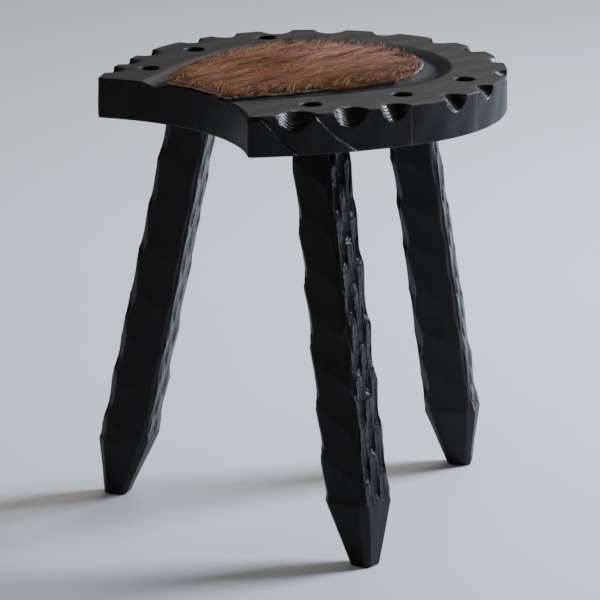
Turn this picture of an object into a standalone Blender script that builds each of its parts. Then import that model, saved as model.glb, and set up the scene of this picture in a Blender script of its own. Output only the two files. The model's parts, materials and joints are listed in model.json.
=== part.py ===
"""Three leg stool: a carved slab seat with a hide inlay, on three splayed legs.

Metres, +Z up. The slab is modelled round the centre of its round back, with the seat's hollow
front towards -Y, then everything is moved so that the origin lies on the floor under the middle
of the whole stool. Each piece is one named object; all of them hang from the empty "stool".
"""

import math

import bmesh
import bpy
from mathutils import Matrix, Vector

# ---------------------------------------------------------------- driving dimensions
GAP = 0.0003  # left between pieces that touch
PAST = 0.005  # how far a cutter runs on past the face that it opens

# seat slab
SEAT_HEIGHT = 0.450
SEAT_THICK = 0.040
SEAT_RADIUS = 0.187  # the round back and sides
SEAT_CENTRE = Vector((0.002, 0.002))  # the round is a little fuller at the back right
SIDE_START = math.radians(15)  # how far past the middle the round runs before the sides straighten
CORNER_LEFT = Vector((-0.117, -0.181))
CORNER_RIGHT = Vector((0.110, -0.197))
FRONT_HOLLOW = 0.036  # how deep the front is hollowed behind the line through its corners
CORNER_ROUND = 0.004
EDGE_CHAMFER = 0.0015
OUTLINE_STEP = math.radians(4)

# hide inlay: a round back and two sides that close towards the front
HIDE_RADIUS = 0.097
HIDE_CENTRE_Y = 0.015
HIDE_TAPER_LENGTH = 0.175
HIDE_TAPER = 0.054  # how much narrower each side is at the end of that length
HIDE_TAPER_POWER = 1.6
HIDE_FRONT_INSET = 0.0015  # from the slab's front face
SKIN_THICK = 0.0016
PILE_HEIGHT = 0.0042  # lying hair above the skin
PILE_ROUND = 0.020  # how far in the hair reaches its full height
HIDE_STEP_Y = 0.012

# groove round the hide: it starts small at the front right and soon reaches its full size
GROOVE_WIDTH = 0.028
GROOVE_DEPTH = 0.008
GROOVE_START = 0.2  # share of the full size at the front right
GROOVE_GROWN = 0.38  # share of the way round at which it is full

# drilled holes: angle from the back (positive towards -X) and distance from the slab's middle
HOLE_RADIUS = 0.010
HOLES = {
    "left_back": (63.5, 0.154),
    "left_middle": (98.5, 0.149),
    "left_front": (135.0, 0.162),
    "right_back": (-63.5, 0.154),
    "right_middle": (-99.5, 0.145),
    "right_front": (-136.0, 0.162),
}

# gouged notches in the top edge: angle from the back (positive towards -X), width, depth
NOTCHES = (
    (1, 0.032, 0.0100),
    (22, 0.028, 0.0085),
    (40, 0.032, 0.0100),
    (57, 0.032, 0.0100),
    (74.5, 0.028, 0.0085),
    (88, 0.028, 0.0085),
    (111, 0.032, 0.0100),
    (125, 0.030, 0.0100),
    (136.5, 0.030, 0.0100),
    (-15, 0.030, 0.0095),
    (-32, 0.030, 0.0095),
    (-51, 0.028, 0.0090),
    (-72.5, 0.027, 0.0095),
    (-88.5, 0.031, 0.0115),
    (-110.5, 0.032, 0.0115),
    (-124, 0.036, 0.0125),
    (-139, 0.038, 0.0120),
)
NOTCH_SLOPE = math.radians(39)  # how steeply each path runs down and out
NOTCH_REACH = 0.045

# legs: where each one's middle meets the seat's underside and the floor, and its turn
LEGS = {
    "leg_back": (Vector((0.000, 0.131)), Vector((0.000, 0.2145)), 306),
    "leg_left": (Vector((-0.088, -0.077)), Vector((-0.175, -0.106)), 299),
    "leg_right": (Vector((0.0885, -0.081)), Vector((0.169, -0.098)), 280),
}
LEG_HALF_TOP = 0.0235
LEG_HALF_LOW = 0.0262  # at the top of the foot
FOOT_HEIGHT = 0.062
FOOT_HALF = 0.0115  # at the floor
FOOT_CHAMFER = 0.004
SCOOP_PITCH = 0.050
SCOOP_STEPS = 8
SCOOP_SHALLOW = 0.0060  # a corner's chamfer at the start and at the end of each scoop
SCOOP_DEEP = 0.0115
SCOOP_RISE = 0.85  # share of the pitch over which a scoop deepens
SCOOP_PHASES = (0.00, 0.42, 0.71, 0.23)

# blind tenon joint, spread by a hidden wedge
TENON_RADIUS = 0.014
TENON_LENGTH = 0.024
TENON_ROOT = 0.012  # how far the tenon's cylinder starts inside the leg
MORTISE_CLEAR = 0.0004
KERF_WIDTH = 0.0036
KERF_DEPTH = 0.017
WEDGE_TIP = 0.0012
WEDGE_SHORT = 0.0015  # the wedge stops this much above the kerf's floor

# tacks that hold the hide down
TACK_INSET = 0.0075
TACK_PITCH = 0.030
TACK_HEAD_RADIUS = 0.0034
TACK_HEAD_THICK = 0.0009
TACK_SHANK_RADIUS = 0.0008
TACK_LENGTH = 0.012
TACK_SIDES = 8

# ---------------------------------------------------------------- helpers


def clear_scene():
    for old in list(bpy.data.objects):
        bpy.data.objects.remove(old, do_unlink=True)


def finish(name, colour, roughness, metallic=0.0):
    """A plain Principled material."""
    material = bpy.data.materials.new(name)
    material.use_nodes = True
    shader = material.node_tree.nodes["Principled BSDF"]
    shader.inputs["Base Color"].default_value = (*colour, 1)
    shader.inputs["Roughness"].default_value = roughness
    shader.inputs["Metallic"].default_value = metallic
    return material


def piece(name, mesh_maker, material):
    """A new object whose mesh is what mesh_maker draws into an empty bmesh."""
    bm = bmesh.new()
    mesh_maker(bm)
    mesh = bpy.data.meshes.new(name)
    bm.to_mesh(mesh)
    bm.free()
    mesh.materials.append(material)
    obj = bpy.data.objects.new(name, mesh)
    bpy.context.scene.collection.objects.link(obj)
    return obj


def cutter(name, mesh_maker, material):
    obj = piece(name, mesh_maker, material)
    obj.hide_render = True
    obj.display_type = "WIRE"
    return obj


def boolean(obj, other, operation):
    step = obj.modifiers.new(f"{operation.lower()}_{other.name}", "BOOLEAN")
    step.operation = operation
    step.solver = "EXACT"
    step.object = other


def loft(bm, rings):
    """Joins rings of equal length, which run anticlockwise seen from the far end, and caps both ends."""
    rows = [[bm.verts.new(point) for point in ring] for ring in rings]
    count = len(rows[0])
    for low, high in zip(rows, rows[1:]):
        for i in range(count):
            j = (i + 1) % count
            bm.faces.new((low[i], low[j], high[j], high[i]))
    bm.faces.new(rows[0][::-1])
    bm.faces.new(rows[-1])
    bmesh.ops.recalc_face_normals(bm, faces=bm.faces[:])


def rod(bm, start, end, radius, sides):
    """A cylinder between two points."""
    along = (end - start).normalized()
    across = along.orthogonal().normalized()
    beside = along.cross(across)
    turns = [2 * math.pi * i / sides for i in range(sides)]
    round_ = [radius * (math.cos(a) * across + math.sin(a) * beside) for a in turns]
    loft(bm, [[start + r for r in round_], [end + r for r in round_]])


def flat(point, z):
    return Vector((point[0], point[1], z))


def arc(centre, radius, start, end, step):
    """Points of an arc, both ends included."""
    count = max(2, round(abs(end - start) / step))
    angles = [start + (end - start) * i / count for i in range(count + 1)]
    return [centre + radius * Vector((math.cos(a), math.sin(a))) for a in angles]


# ---------------------------------------------------------------- the slab's outline


def bulged(start, end, rise, steps):
    """An arc from start to end that stands off its chord by rise, to the right of the way along it."""
    chord = end - start
    half = chord.length / 2
    radius = (half * half + rise * rise) / (2 * abs(rise))
    right = Vector((chord.y, -chord.x)).normalized() * math.copysign(1, rise)
    centre = (start + end) / 2 - right * (radius - abs(rise))
    spread = math.asin(half / radius)
    middle = math.atan2(right.y, right.x)
    turn = math.copysign(spread, rise)
    return arc(centre, radius, middle - turn, middle + turn, 2 * spread / steps)


def side_arc(tangent_point, tangent, corner, steps):
    """The straighter side: leaves the round back along its tangent and ends at the corner."""
    chord = corner - tangent_point
    angle = math.atan2(tangent.cross(chord), tangent.dot(chord))
    rise = chord.length / 2 * math.tan(angle / 2)
    return bulged(tangent_point, corner, rise, steps)


def seat_outline():
    """The slab seen from above, anticlockwise from the right corner."""
    start, end = -SIDE_START, math.pi + SIDE_START
    back = arc(SEAT_CENTRE, SEAT_RADIUS, start, end, OUTLINE_STEP)
    going_left = Vector((-math.sin(end), math.cos(end)))
    left = side_arc(back[-1], going_left, CORNER_LEFT, 10)
    going_right = Vector((math.sin(start), -math.cos(start)))
    right = side_arc(back[0], going_right, CORNER_RIGHT, 10)
    front = front_arc(0, 26)
    right_corner = rounded(front[-2], CORNER_RIGHT, right[-2])
    left_corner = rounded(left[-2], CORNER_LEFT, front[1])
    return right_corner + right[-2:0:-1] + back + left[1:-1] + left_corner + front[1:-1]


def rounded(before, corner, after):
    """Three points that round off a corner between its neighbours."""
    back = (before - corner).normalized()
    on = (after - corner).normalized()
    half = math.acos(back.dot(on)) / 2
    reach = CORNER_ROUND / math.tan(half)
    inward = (back + on).normalized()
    tip = corner + inward * (CORNER_ROUND / math.sin(half) - CORNER_ROUND)
    return [corner + back * reach, tip, corner + on * reach]


def front_arc(inset, steps):
    """The hollow front from the left corner to the right one, moved back by inset."""
    line = bulged(CORNER_LEFT, CORNER_RIGHT, -FRONT_HOLLOW, steps)
    return [point + Vector((0, inset)) for point in line]


def edge_radius(angle):
    """How far the slab's side is from its centre in the direction of angle, taken from +X."""
    way = Vector((math.cos(angle), math.sin(angle)))
    outline = seat_outline()
    for a, b in zip(outline, outline[1:] + outline[:1]):
        along = b - a
        under = way.cross(along)
        if abs(under) < 1e-12:
            continue
        reach = a.cross(along) / under
        share = a.cross(way) / under
        if reach > 0 and -1e-9 <= share <= 1 + 1e-9:
            return reach
    return SEAT_RADIUS


# ---------------------------------------------------------------- the hide's outline


def hide_half_width(y):
    if y >= HIDE_CENTRE_Y:
        return math.sqrt(max(0.0, HIDE_RADIUS**2 - (y - HIDE_CENTRE_Y) ** 2))
    share = (HIDE_CENTRE_Y - y) / HIDE_TAPER_LENGTH
    return HIDE_RADIUS - HIDE_TAPER * share**HIDE_TAPER_POWER


def hide_side(front_y):
    """The hide's edge from the front on the right, round the back, to the front on the left."""
    count = math.ceil((HIDE_CENTRE_Y - front_y) / HIDE_STEP_Y)
    rows = [front_y + (HIDE_CENTRE_Y - front_y) * i / count for i in range(count)]
    right = [Vector((hide_half_width(y), y)) for y in rows]
    middle = Vector((0, HIDE_CENTRE_Y))
    back = arc(middle, HIDE_RADIUS, 0, math.pi, math.radians(7.5))
    left = [Vector((-p.x, p.y)) for p in reversed(right)]
    return right + back + left


def normals(line):
    """At each point of an open line, the direction square to it on its right."""
    sides = []
    for before, after in zip(line[:1] + line[:-1], line[1:] + line[-1:]):
        along = (after - before).normalized()
        sides.append(Vector((along.y, -along.x)))
    return sides


def offset(line, distance):
    """An open line moved to its right by distance."""
    return [point + distance * side for point, side in zip(line, normals(line))]


def front_y_at(x, inset):
    line = front_arc(inset, 60)
    for a, b in zip(line, line[1:]):
        if a.x <= x <= b.x:
            return a.y + (b.y - a.y) * (x - a.x) / (b.x - a.x)
    return line[-1].y


def hide_outline(inset):
    """The hide's closed outline, anticlockwise, drawn in by inset all round."""
    side = offset(hide_side(CORNER_RIGHT.y - GROOVE_WIDTH), -inset)
    drawn_in = HIDE_FRONT_INSET + inset
    kept = [p for p in side if p.y > front_y_at(p.x, drawn_in) + HIDE_STEP_Y / 4]
    right = kept[0].x
    left = kept[-1].x
    steps = 10
    across = [left + (right - left) * i / steps for i in range(steps + 1)]
    front = [Vector((x, front_y_at(x, drawn_in))) for x in across]
    return kept + front


# ---------------------------------------------------------------- seat slab


def draw_slab(bm):
    outline = seat_outline()
    inner = [point - EDGE_CHAMFER * point.normalized() for point in outline]
    low = SEAT_HEIGHT - SEAT_THICK
    loft(
        bm,
        [
            [flat(p, low) for p in inner],
            [flat(p, low + EDGE_CHAMFER) for p in outline],
            [flat(p, SEAT_HEIGHT - EDGE_CHAMFER) for p in outline],
            [flat(p, SEAT_HEIGHT) for p in inner],
        ],
    )


def groove_size(way):
    """Share of the full width and depth, from the front right (0) round to the front left (1)."""
    grown = min(1.0, way / GROOVE_GROWN)
    return GROOVE_START + (1 - GROOVE_START) * grown


def draw_groove(bm):
    """A V that runs round the hide and out through the front, as one strip."""
    line = hide_side(CORNER_RIGHT.y - GROOVE_WIDTH)
    sides = normals(line)
    above = 0.25  # how far the cutter goes on above the top, as a share of its depth
    rings = []
    for i, (place, out) in enumerate(zip(line, sides)):
        size = groove_size(i / (len(line) - 1))
        width = GROOVE_WIDTH * size
        depth = GROOVE_DEPTH * size
        over = above * width / 2
        top = SEAT_HEIGHT + above * depth
        bottom = SEAT_HEIGHT - depth
        rings.append(
            [
                flat(place - over * out, top),
                flat(place + width / 2 * out, bottom),
                flat(place + (width + over) * out, top),
            ]
        )
    loft(bm, rings)


def draw_notch(bm, turn, width, depth):
    """A gouge's round path, sloping out and down across the top edge."""
    angle = math.pi / 2 + math.radians(turn)
    out = Vector((math.cos(angle), math.sin(angle), 0))
    edge = edge_radius(angle) * out + Vector((0, 0, SEAT_HEIGHT))
    radius = (width * width / 4 + depth * depth) / (2 * depth)
    up = Vector((0, 0, 1))
    away = math.sin(NOTCH_SLOPE) * out + math.cos(NOTCH_SLOPE) * up
    along = math.cos(NOTCH_SLOPE) * out - math.sin(NOTCH_SLOPE) * up
    middle = edge + (radius - depth) * away
    rod(bm, middle - NOTCH_REACH * along, middle + NOTCH_REACH * along, radius, 24)


def draw_hole(bm, turn, radius):
    angle = math.pi / 2 + math.radians(turn)
    place = radius * Vector((math.cos(angle), math.sin(angle)))
    low = SEAT_HEIGHT - SEAT_THICK
    rod(bm, flat(place, low - PAST), flat(place, SEAT_HEIGHT + PAST), HOLE_RADIUS, 24)


def draw_mortise(bm, name):
    top, way = tenon_axis(name)
    depth = TENON_LENGTH + MORTISE_CLEAR + GAP
    rod(bm, top - way * TENON_RADIUS, top + way * depth, TENON_RADIUS + MORTISE_CLEAR, 28)


def draw_tack_hole(bm, place):
    depth = TACK_LENGTH - SKIN_THICK + GAP
    radius = TACK_SHANK_RADIUS + GAP
    start = flat(place, SEAT_HEIGHT + PAST)
    rod(bm, start, flat(place, SEAT_HEIGHT - depth), radius, TACK_SIDES)


def make_slab(material):
    slab = piece("seat_slab", draw_slab, material)
    boolean(slab, cutter("cut_groove", draw_groove, material), "DIFFERENCE")
    for i, (turn, width, depth) in enumerate(NOTCHES):
        draw = lambda bm, t=turn, w=width, d=depth: draw_notch(bm, t, w, d)
        boolean(slab, cutter(f"cut_notch_{i:02d}", draw, material), "DIFFERENCE")
    for name, (turn, radius) in HOLES.items():
        draw = lambda bm, t=turn, r=radius: draw_hole(bm, t, r)
        boolean(slab, cutter(f"cut_hole_{name}", draw, material), "DIFFERENCE")
    for name in LEGS:
        draw = lambda bm, n=name: draw_mortise(bm, n)
        boolean(slab, cutter(f"cut_mortise_{name}", draw, material), "DIFFERENCE")
    for i, place in enumerate(tack_places()):
        draw = lambda bm, p=place: draw_tack_hole(bm, p)
        boolean(slab, cutter(f"cut_tack_{i:02d}", draw, material), "DIFFERENCE")
    return slab


# ---------------------------------------------------------------- hide and its tacks


def even_places(line, pitch):
    """Places a whole number of equal pitches apart along a closed line."""
    closed = line + line[:1]
    lengths = [(b - a).length for a, b in zip(closed, closed[1:])]
    total = sum(lengths)
    count = round(total / pitch)
    places = []
    for i in range(count):
        left = total * (i + 0.5) / count
        for a, b, length in zip(closed, closed[1:], lengths):
            if left <= length:
                places.append(a + (b - a) * left / length)
                break
            left -= length
    return places


def tack_places():
    return even_places(hide_outline(TACK_INSET), TACK_PITCH)


def draw_hide(bm):
    """Skin with square-cut edges, and hair that rises to its full height a little way in."""
    low = SEAT_HEIGHT + GAP
    edge = hide_outline(0)
    middle = sum(edge, Vector((0, 0))) / len(edge)

    def drawn_in(distance):
        return [p + (middle - p).normalized() * distance for p in edge]

    top = low + SKIN_THICK + PILE_HEIGHT
    loft(
        bm,
        [
            [flat(p, low) for p in edge],
            [flat(p, low + SKIN_THICK) for p in edge],
            [flat(p, top - 0.3 * PILE_HEIGHT) for p in drawn_in(PILE_ROUND / 3)],
            [flat(p, top) for p in drawn_in(PILE_ROUND)],
        ],
    )


def draw_tack_well(bm, place):
    """Room for a tack's head where the hair parts round it."""
    start = flat(place, SEAT_HEIGHT + GAP + SKIN_THICK)
    end = start + Vector((0, 0, PILE_HEIGHT + PAST))
    rod(bm, start, end, TACK_HEAD_RADIUS + GAP, TACK_SIDES)


def draw_tack_eye(bm, place):
    """The shank's way through the skin."""
    start = flat(place, SEAT_HEIGHT - PAST)
    end = flat(place, SEAT_HEIGHT + SKIN_THICK + PAST)
    rod(bm, start, end, TACK_SHANK_RADIUS + GAP, TACK_SIDES)


def make_hide(material):
    hide = piece("hide_panel", draw_hide, material)
    for i, place in enumerate(tack_places()):
        well = cutter(f"cut_well_{i:02d}", lambda bm, p=place: draw_tack_well(bm, p), material)
        eye = cutter(f"cut_eye_{i:02d}", lambda bm, p=place: draw_tack_eye(bm, p), material)
        boolean(hide, well, "DIFFERENCE")
        boolean(hide, eye, "DIFFERENCE")
    return hide


def draw_tack(bm):
    """A flat-headed tack with its head's underside at the origin and its point down."""
    shank = TACK_LENGTH - TACK_HEAD_THICK
    profile = (
        (TACK_SHANK_RADIUS * 0.25, -shank),
        (TACK_SHANK_RADIUS, -shank * 0.6),
        (TACK_SHANK_RADIUS, 0.0),
        (TACK_HEAD_RADIUS, 0.0),
        (TACK_HEAD_RADIUS, TACK_HEAD_THICK * 0.4),
        (TACK_HEAD_RADIUS * 0.6, TACK_HEAD_THICK),
    )
    turns = [2 * math.pi * i / TACK_SIDES for i in range(TACK_SIDES)]
    loft(
        bm,
        [
            [Vector((r * math.cos(a), r * math.sin(a), z)) for a in turns]
            for r, z in profile
        ],
    )


def make_tacks(material):
    first = None
    tacks = []
    for i, place in enumerate(tack_places()):
        name = f"hide_tack_{i + 1:02d}"
        if first is None:
            tack = first = piece(name, draw_tack, material)
        else:
            tack = bpy.data.objects.new(name, first.data)
            bpy.context.scene.collection.objects.link(tack)
        tack.location = flat(place, SEAT_HEIGHT + SKIN_THICK + 2 * GAP)
        tacks.append(tack)
    return tacks


# ---------------------------------------------------------------- legs


def tenon_axis(name):
    """Where the leg's middle line meets the seat's underside, and its way up."""
    top, foot, _ = LEGS[name]
    start = flat(top, SEAT_HEIGHT - SEAT_THICK)
    return start, (start - flat(foot, 0)).normalized()


def corner_chamfer(down, phase):
    """A corner's chamfer at a distance below the seat: each scoop deepens slowly and ends in a ridge."""
    share = (down / SCOOP_PITCH + phase) % 1.0
    if share < SCOOP_RISE:
        cut = math.sin(math.pi / 2 * share / SCOOP_RISE)
    else:
        cut = (1 - share) / (1 - SCOOP_RISE)
    return SCOOP_SHALLOW + (SCOOP_DEEP - SCOOP_SHALLOW) * cut


def leg_section(half, chamfers):
    """A square with its corners cut by the given chamfers, anticlockwise."""
    ring = []
    for i, cut in enumerate(chamfers):
        turn = Matrix.Rotation(math.pi / 2 * i, 2)
        ring.append(turn @ Vector((half, half - cut)))
        ring.append(turn @ Vector((half - cut, half)))
    return ring


def draw_leg(bm, name):
    """Level rings from the floor to the underside, about the leg's leaning middle line."""
    top, foot, facing = LEGS[name]
    high = SEAT_HEIGHT - SEAT_THICK - GAP
    turn = Matrix.Rotation(math.radians(facing), 2)
    count = round((high - FOOT_HEIGHT) / SCOOP_PITCH * SCOOP_STEPS)
    heights = [FOOT_HEIGHT + (high - FOOT_HEIGHT) * i / count for i in range(count + 1)]
    rings = [(0.0, FOOT_HALF, [FOOT_CHAMFER] * 4)]
    for z in heights:
        share = (high - z) / (high - FOOT_HEIGHT)
        half = LEG_HALF_TOP + (LEG_HALF_LOW - LEG_HALF_TOP) * share
        rings.append((z, half, [corner_chamfer(high - z, p) for p in SCOOP_PHASES]))
    level = SEAT_HEIGHT - SEAT_THICK
    loft(
        bm,
        [
            [flat(turn @ p + foot.lerp(top, z / level), z) for p in leg_section(half, cuts)]
            for z, half, cuts in rings
        ],
    )


def draw_tenon(bm, name):
    start, way = tenon_axis(name)
    rod(bm, start - way * TENON_ROOT, start + way * TENON_LENGTH, TENON_RADIUS, 28)


def wedge_frame(name):
    """The tenon's end: its middle, its way up, and the way across the kerf."""
    start, way = tenon_axis(name)
    across = Vector((0, 0, 1)).cross(way).normalized()
    return start + way * TENON_LENGTH, way, across


def draw_kerf(bm, name):
    end, way, across = wedge_frame(name)
    beside = way.cross(across)
    reach = TENON_RADIUS * 1.5

    def level(up):
        corners = ((-1, -1), (1, -1), (1, 1), (-1, 1))
        return [
            end + way * up + across * (i * KERF_WIDTH / 2) + beside * (j * reach)
            for i, j in corners
        ]

    loft(bm, [level(-KERF_DEPTH), level(PAST)])


def draw_wedge(bm, name):
    """Thin end down in the kerf, thick end level with the tenon's end."""
    end, way, across = wedge_frame(name)
    beside = way.cross(across)
    reach = math.sqrt(TENON_RADIUS**2 - (KERF_WIDTH / 2) ** 2) - GAP
    thick = KERF_WIDTH - 2 * GAP

    def level(up, width):
        corners = ((-1, -1), (1, -1), (1, 1), (-1, 1))
        return [
            end + way * up + across * (i * width / 2) + beside * (j * reach)
            for i, j in corners
        ]

    loft(bm, [level(WEDGE_SHORT - KERF_DEPTH, WEDGE_TIP), level(-GAP, thick)])


def make_legs(material, wedge_material):
    made = []
    for name in LEGS:
        leg = piece(name, lambda bm, n=name: draw_leg(bm, n), material)
        tenon = cutter(f"add_tenon_{name}", lambda bm, n=name: draw_tenon(bm, n), material)
        kerf = cutter(f"cut_kerf_{name}", lambda bm, n=name: draw_kerf(bm, n), material)
        boolean(leg, tenon, "UNION")
        boolean(leg, kerf, "DIFFERENCE")
        side = name.split("_")[1]
        wedge = piece(f"tenon_wedge_{side}", lambda bm, n=name: draw_wedge(bm, n), wedge_material)
        made += [leg, wedge]
    return made


# ---------------------------------------------------------------- the stool


def centre_on_floor(stool):
    """Moves the stool so that the middle of its box lies over the origin."""
    bpy.context.view_layer.update()
    graph = bpy.context.evaluated_depsgraph_get()
    points = []
    for obj in bpy.data.objects:
        if obj.type == "MESH" and not obj.hide_render:
            shown = obj.evaluated_get(graph)
            points += [obj.matrix_world @ vertex.co for vertex in shown.data.vertices]
    middle = [(min(p[i] for p in points) + max(p[i] for p in points)) / 2 for i in (0, 1)]
    stool.location = (-middle[0], -middle[1], 0)


def main():
    clear_scene()
    black_wood = finish("blackened_wood", (0.022, 0.020, 0.019), 0.45)
    wedge_wood = finish("pale_wood", (0.30, 0.19, 0.10), 0.6)
    hide = finish("brown_hide", (0.26, 0.12, 0.06), 0.75)
    steel = finish("blued_steel", (0.05, 0.05, 0.055), 0.4, 1.0)
    make_slab(black_wood)
    make_hide(hide)
    make_tacks(steel)
    make_legs(black_wood, wedge_wood)
    stool = bpy.data.objects.new("stool", None)
    bpy.context.scene.collection.objects.link(stool)
    for obj in bpy.data.objects:
        if obj is not stool:
            obj.parent = stool
    centre_on_floor(stool)


main()
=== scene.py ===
"""Looks of the three leg stool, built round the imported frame.

A slab seat carved from blackened wood, a hair-on hide tacked into its middle, and three
hewn legs. Metres, +Z up, in the frame's own axes. "local" below means measured from the
middle of the slab's round back, as the slab was drawn.
"""

import json
import math

import bmesh
import bpy
import numpy as np
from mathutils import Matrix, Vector, kdtree

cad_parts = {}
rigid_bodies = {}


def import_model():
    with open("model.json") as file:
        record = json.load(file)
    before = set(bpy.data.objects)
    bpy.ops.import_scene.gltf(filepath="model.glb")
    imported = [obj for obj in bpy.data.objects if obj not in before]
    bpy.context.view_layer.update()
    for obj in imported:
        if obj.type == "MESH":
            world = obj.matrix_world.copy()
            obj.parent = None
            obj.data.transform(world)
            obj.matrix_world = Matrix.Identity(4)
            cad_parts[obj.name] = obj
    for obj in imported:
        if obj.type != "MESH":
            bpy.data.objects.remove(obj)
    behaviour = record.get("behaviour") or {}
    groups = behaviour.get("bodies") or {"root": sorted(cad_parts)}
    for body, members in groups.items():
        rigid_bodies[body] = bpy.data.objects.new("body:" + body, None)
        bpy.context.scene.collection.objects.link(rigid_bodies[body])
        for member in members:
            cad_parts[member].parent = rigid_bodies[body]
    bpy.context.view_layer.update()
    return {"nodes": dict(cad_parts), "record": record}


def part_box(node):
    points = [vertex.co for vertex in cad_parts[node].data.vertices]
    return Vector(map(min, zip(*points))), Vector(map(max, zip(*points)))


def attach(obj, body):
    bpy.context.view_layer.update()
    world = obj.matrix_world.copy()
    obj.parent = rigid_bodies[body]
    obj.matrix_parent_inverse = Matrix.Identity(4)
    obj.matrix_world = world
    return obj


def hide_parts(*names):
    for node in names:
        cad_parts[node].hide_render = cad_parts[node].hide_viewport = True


for old in list(bpy.data.objects):
    bpy.data.objects.remove(old, do_unlink=True)

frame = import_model()

# ------------------------------------------------------------------ sizes from the frame
MOUNTS = {mount["name"]: Vector(mount["pos_m"]) for mount in frame["record"]["mounts"]}
BACK_FOOT = Vector((0.0, 0.2145))  # local
MIDDLE = MOUNTS["foot_back"].xy - BACK_FOOT  # the slab's local middle, in the frame
SEAT_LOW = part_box("seat_slab")[0].z
SEAT_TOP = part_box("seat_slab")[1].z
GAP = 0.0003
TACKS = sorted(name for name in frame["nodes"] if name.startswith("hide_tack"))

# ------------------------------------------------------------------ the slab, local
SEAT_RADIUS = 0.187
SEAT_CENTRE = np.array((0.002, 0.002))
SIDE_START = math.radians(15)
LINE_STEP = 0.00025  # between the places of an outline
FAR = 9.0  # farther than anything on the stool
MEASURED_AT_ONCE = 4000  # points whose distances are worked out together
CORNER_LEFT = np.array((-0.117, -0.181))
CORNER_RIGHT = np.array((0.110, -0.197))
FRONT_HOLLOW = 0.036
CORNER_ROUND = 0.004
EDGE_ROUND = 0.0016
HIDE_RADIUS = 0.097
HIDE_CENTRE_Y = 0.015
HIDE_TAPER_LENGTH = 0.175
HIDE_TAPER = 0.054
HIDE_TAPER_POWER = 1.6
HIDE_FRONT_INSET = 0.0015
GROOVE_WIDTH = 0.028
GROOVE_DEPTH = 0.008
GROOVE_START = 0.2
GROOVE_GROWN = 0.38
GROOVE_WORN = 0.42  # how much shallower the groove is on the far side
GROOVE_WORN_WAY = (0.36, 0.52)  # where round the hide it gets shallower
HOLE_RADIUS = 0.010
HOLE_FLARE = 0.0017  # how far the hole's mouth is rounded
HOLES = ((63.5, 0.154), (98.5, 0.149), (135.0, 0.162), (-63.5, 0.154), (-99.5, 0.145), (-136.0, 0.162))

# turn from the back (positive towards -X), width, depth
NOTCHES = (
    (1, 0.032, 0.0100),
    (22, 0.028, 0.0085),
    (40, 0.032, 0.0100),
    (57, 0.032, 0.0100),
    (74.5, 0.028, 0.0085),
    (88, 0.028, 0.0085),
    (111, 0.032, 0.0100),
    (125, 0.030, 0.0100),
    (136.5, 0.030, 0.0100),
    (-15, 0.030, 0.0095),
    (-32, 0.030, 0.0095),
    (-51, 0.028, 0.0090),
    (-72.5, 0.027, 0.0095),
    (-88.5, 0.031, 0.0115),
    (-110.5, 0.032, 0.0115),
    (-124, 0.036, 0.0125),
    (-139, 0.038, 0.0120),
)
NOTCH_SLOPE = math.radians(39)
NOTCH_SOFT = 0.0014  # how far a notch's worn edge is rounded
NOTCH_SOFTER = 0.0032  # the same round the back and the left side, where hands have worn it more
SOFTER_FROM = -40  # the turn from which the edges are that soft
CHATTER_PITCH = 0.0038
CHATTER_DEEP = 0.0008

# raised lines down the slab's wall: turn at the top, turn at the bottom, height, run-out
RIDGES = (
    (-149.9, -138.8, 0.0026, 0.011),
    (-136.5, -123.0, 0.0022, 0.010),
    (-151.5, -147.5, 0.0004, 0.006),
)
# drying cracks down the wall: turn, half width
CHECKS = ((-105.3, 0.0008), (-79.3, 0.0011))

# ------------------------------------------------------------------ legs, local
# middle at the slab's underside, middle at the floor, turn of the square
LEGS = {
    "leg_back": (Vector((0.000, 0.131)), BACK_FOOT, 306),
    "leg_left": (Vector((-0.088, -0.077)), Vector((-0.175, -0.106)), 299),
    "leg_right": (Vector((0.0885, -0.081)), Vector((0.169, -0.098)), 280),
}
LEG_HALF_TOP = 0.0235
LEG_HALF_LOW = 0.0262
FOOT_HEIGHT = 0.062
FOOT_HALF = 0.0115
FOOT_CHAMFER = 0.004
SCOOP_SHALLOW = 0.0060
SCOOP_DEEP = 0.0105
SCOOP_RISE = 0.80
FRONT_CORNER = 0.45  # how much of its scoops the corner between the dark and the gouged face keeps
STROKE_PITCH = 0.047  # long strokes down the plain faces
STROKE_DEEP = 0.0011
GOUGE_WIDTH = 0.0125  # strokes down the gouged face, side by side
GOUGE_PITCH = 0.050
GOUGE_DEEP = 0.0024
GOUGE_RISE, GOUGE_FALL = 0.82, 0.18  # shares of a stroke over which it deepens and ends
GOUGED = {"leg_back": 0.8, "leg_left": 0.45, "leg_right": 1.0}  # how rough that face is
# first scoop's end below the slab and the pitch, for each corner, anticlockwise
SCOOPS = {
    "leg_back": ((0.046, 0.054), (0.030, 0.052), (0.052, 0.055), (0.020, 0.053)),
    "leg_left": ((0.036, 0.053), (0.020, 0.054), (0.040, 0.052), (0.052, 0.055)),
    "leg_right": ((0.054, 0.061), (0.024, 0.052), (0.046, 0.055), (0.036, 0.056)),
}
TENON_RADIUS = 0.014
TENON_LENGTH = 0.024
KERF_WIDTH = 0.0036
KERF_DEPTH = 0.017
MORTISE_CLEAR = 0.0004
TACK_HOLE = 0.0011  # radius in the slab

# ------------------------------------------------------------------ hide
SKIN_THICK = 0.0016
SKIN_EYE = 0.0012  # radius of a tack's hole in the skin
STRANDS_EACH = 11000  # hairs in a whole layer
LONGEST_HAIR = 0.046
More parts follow.
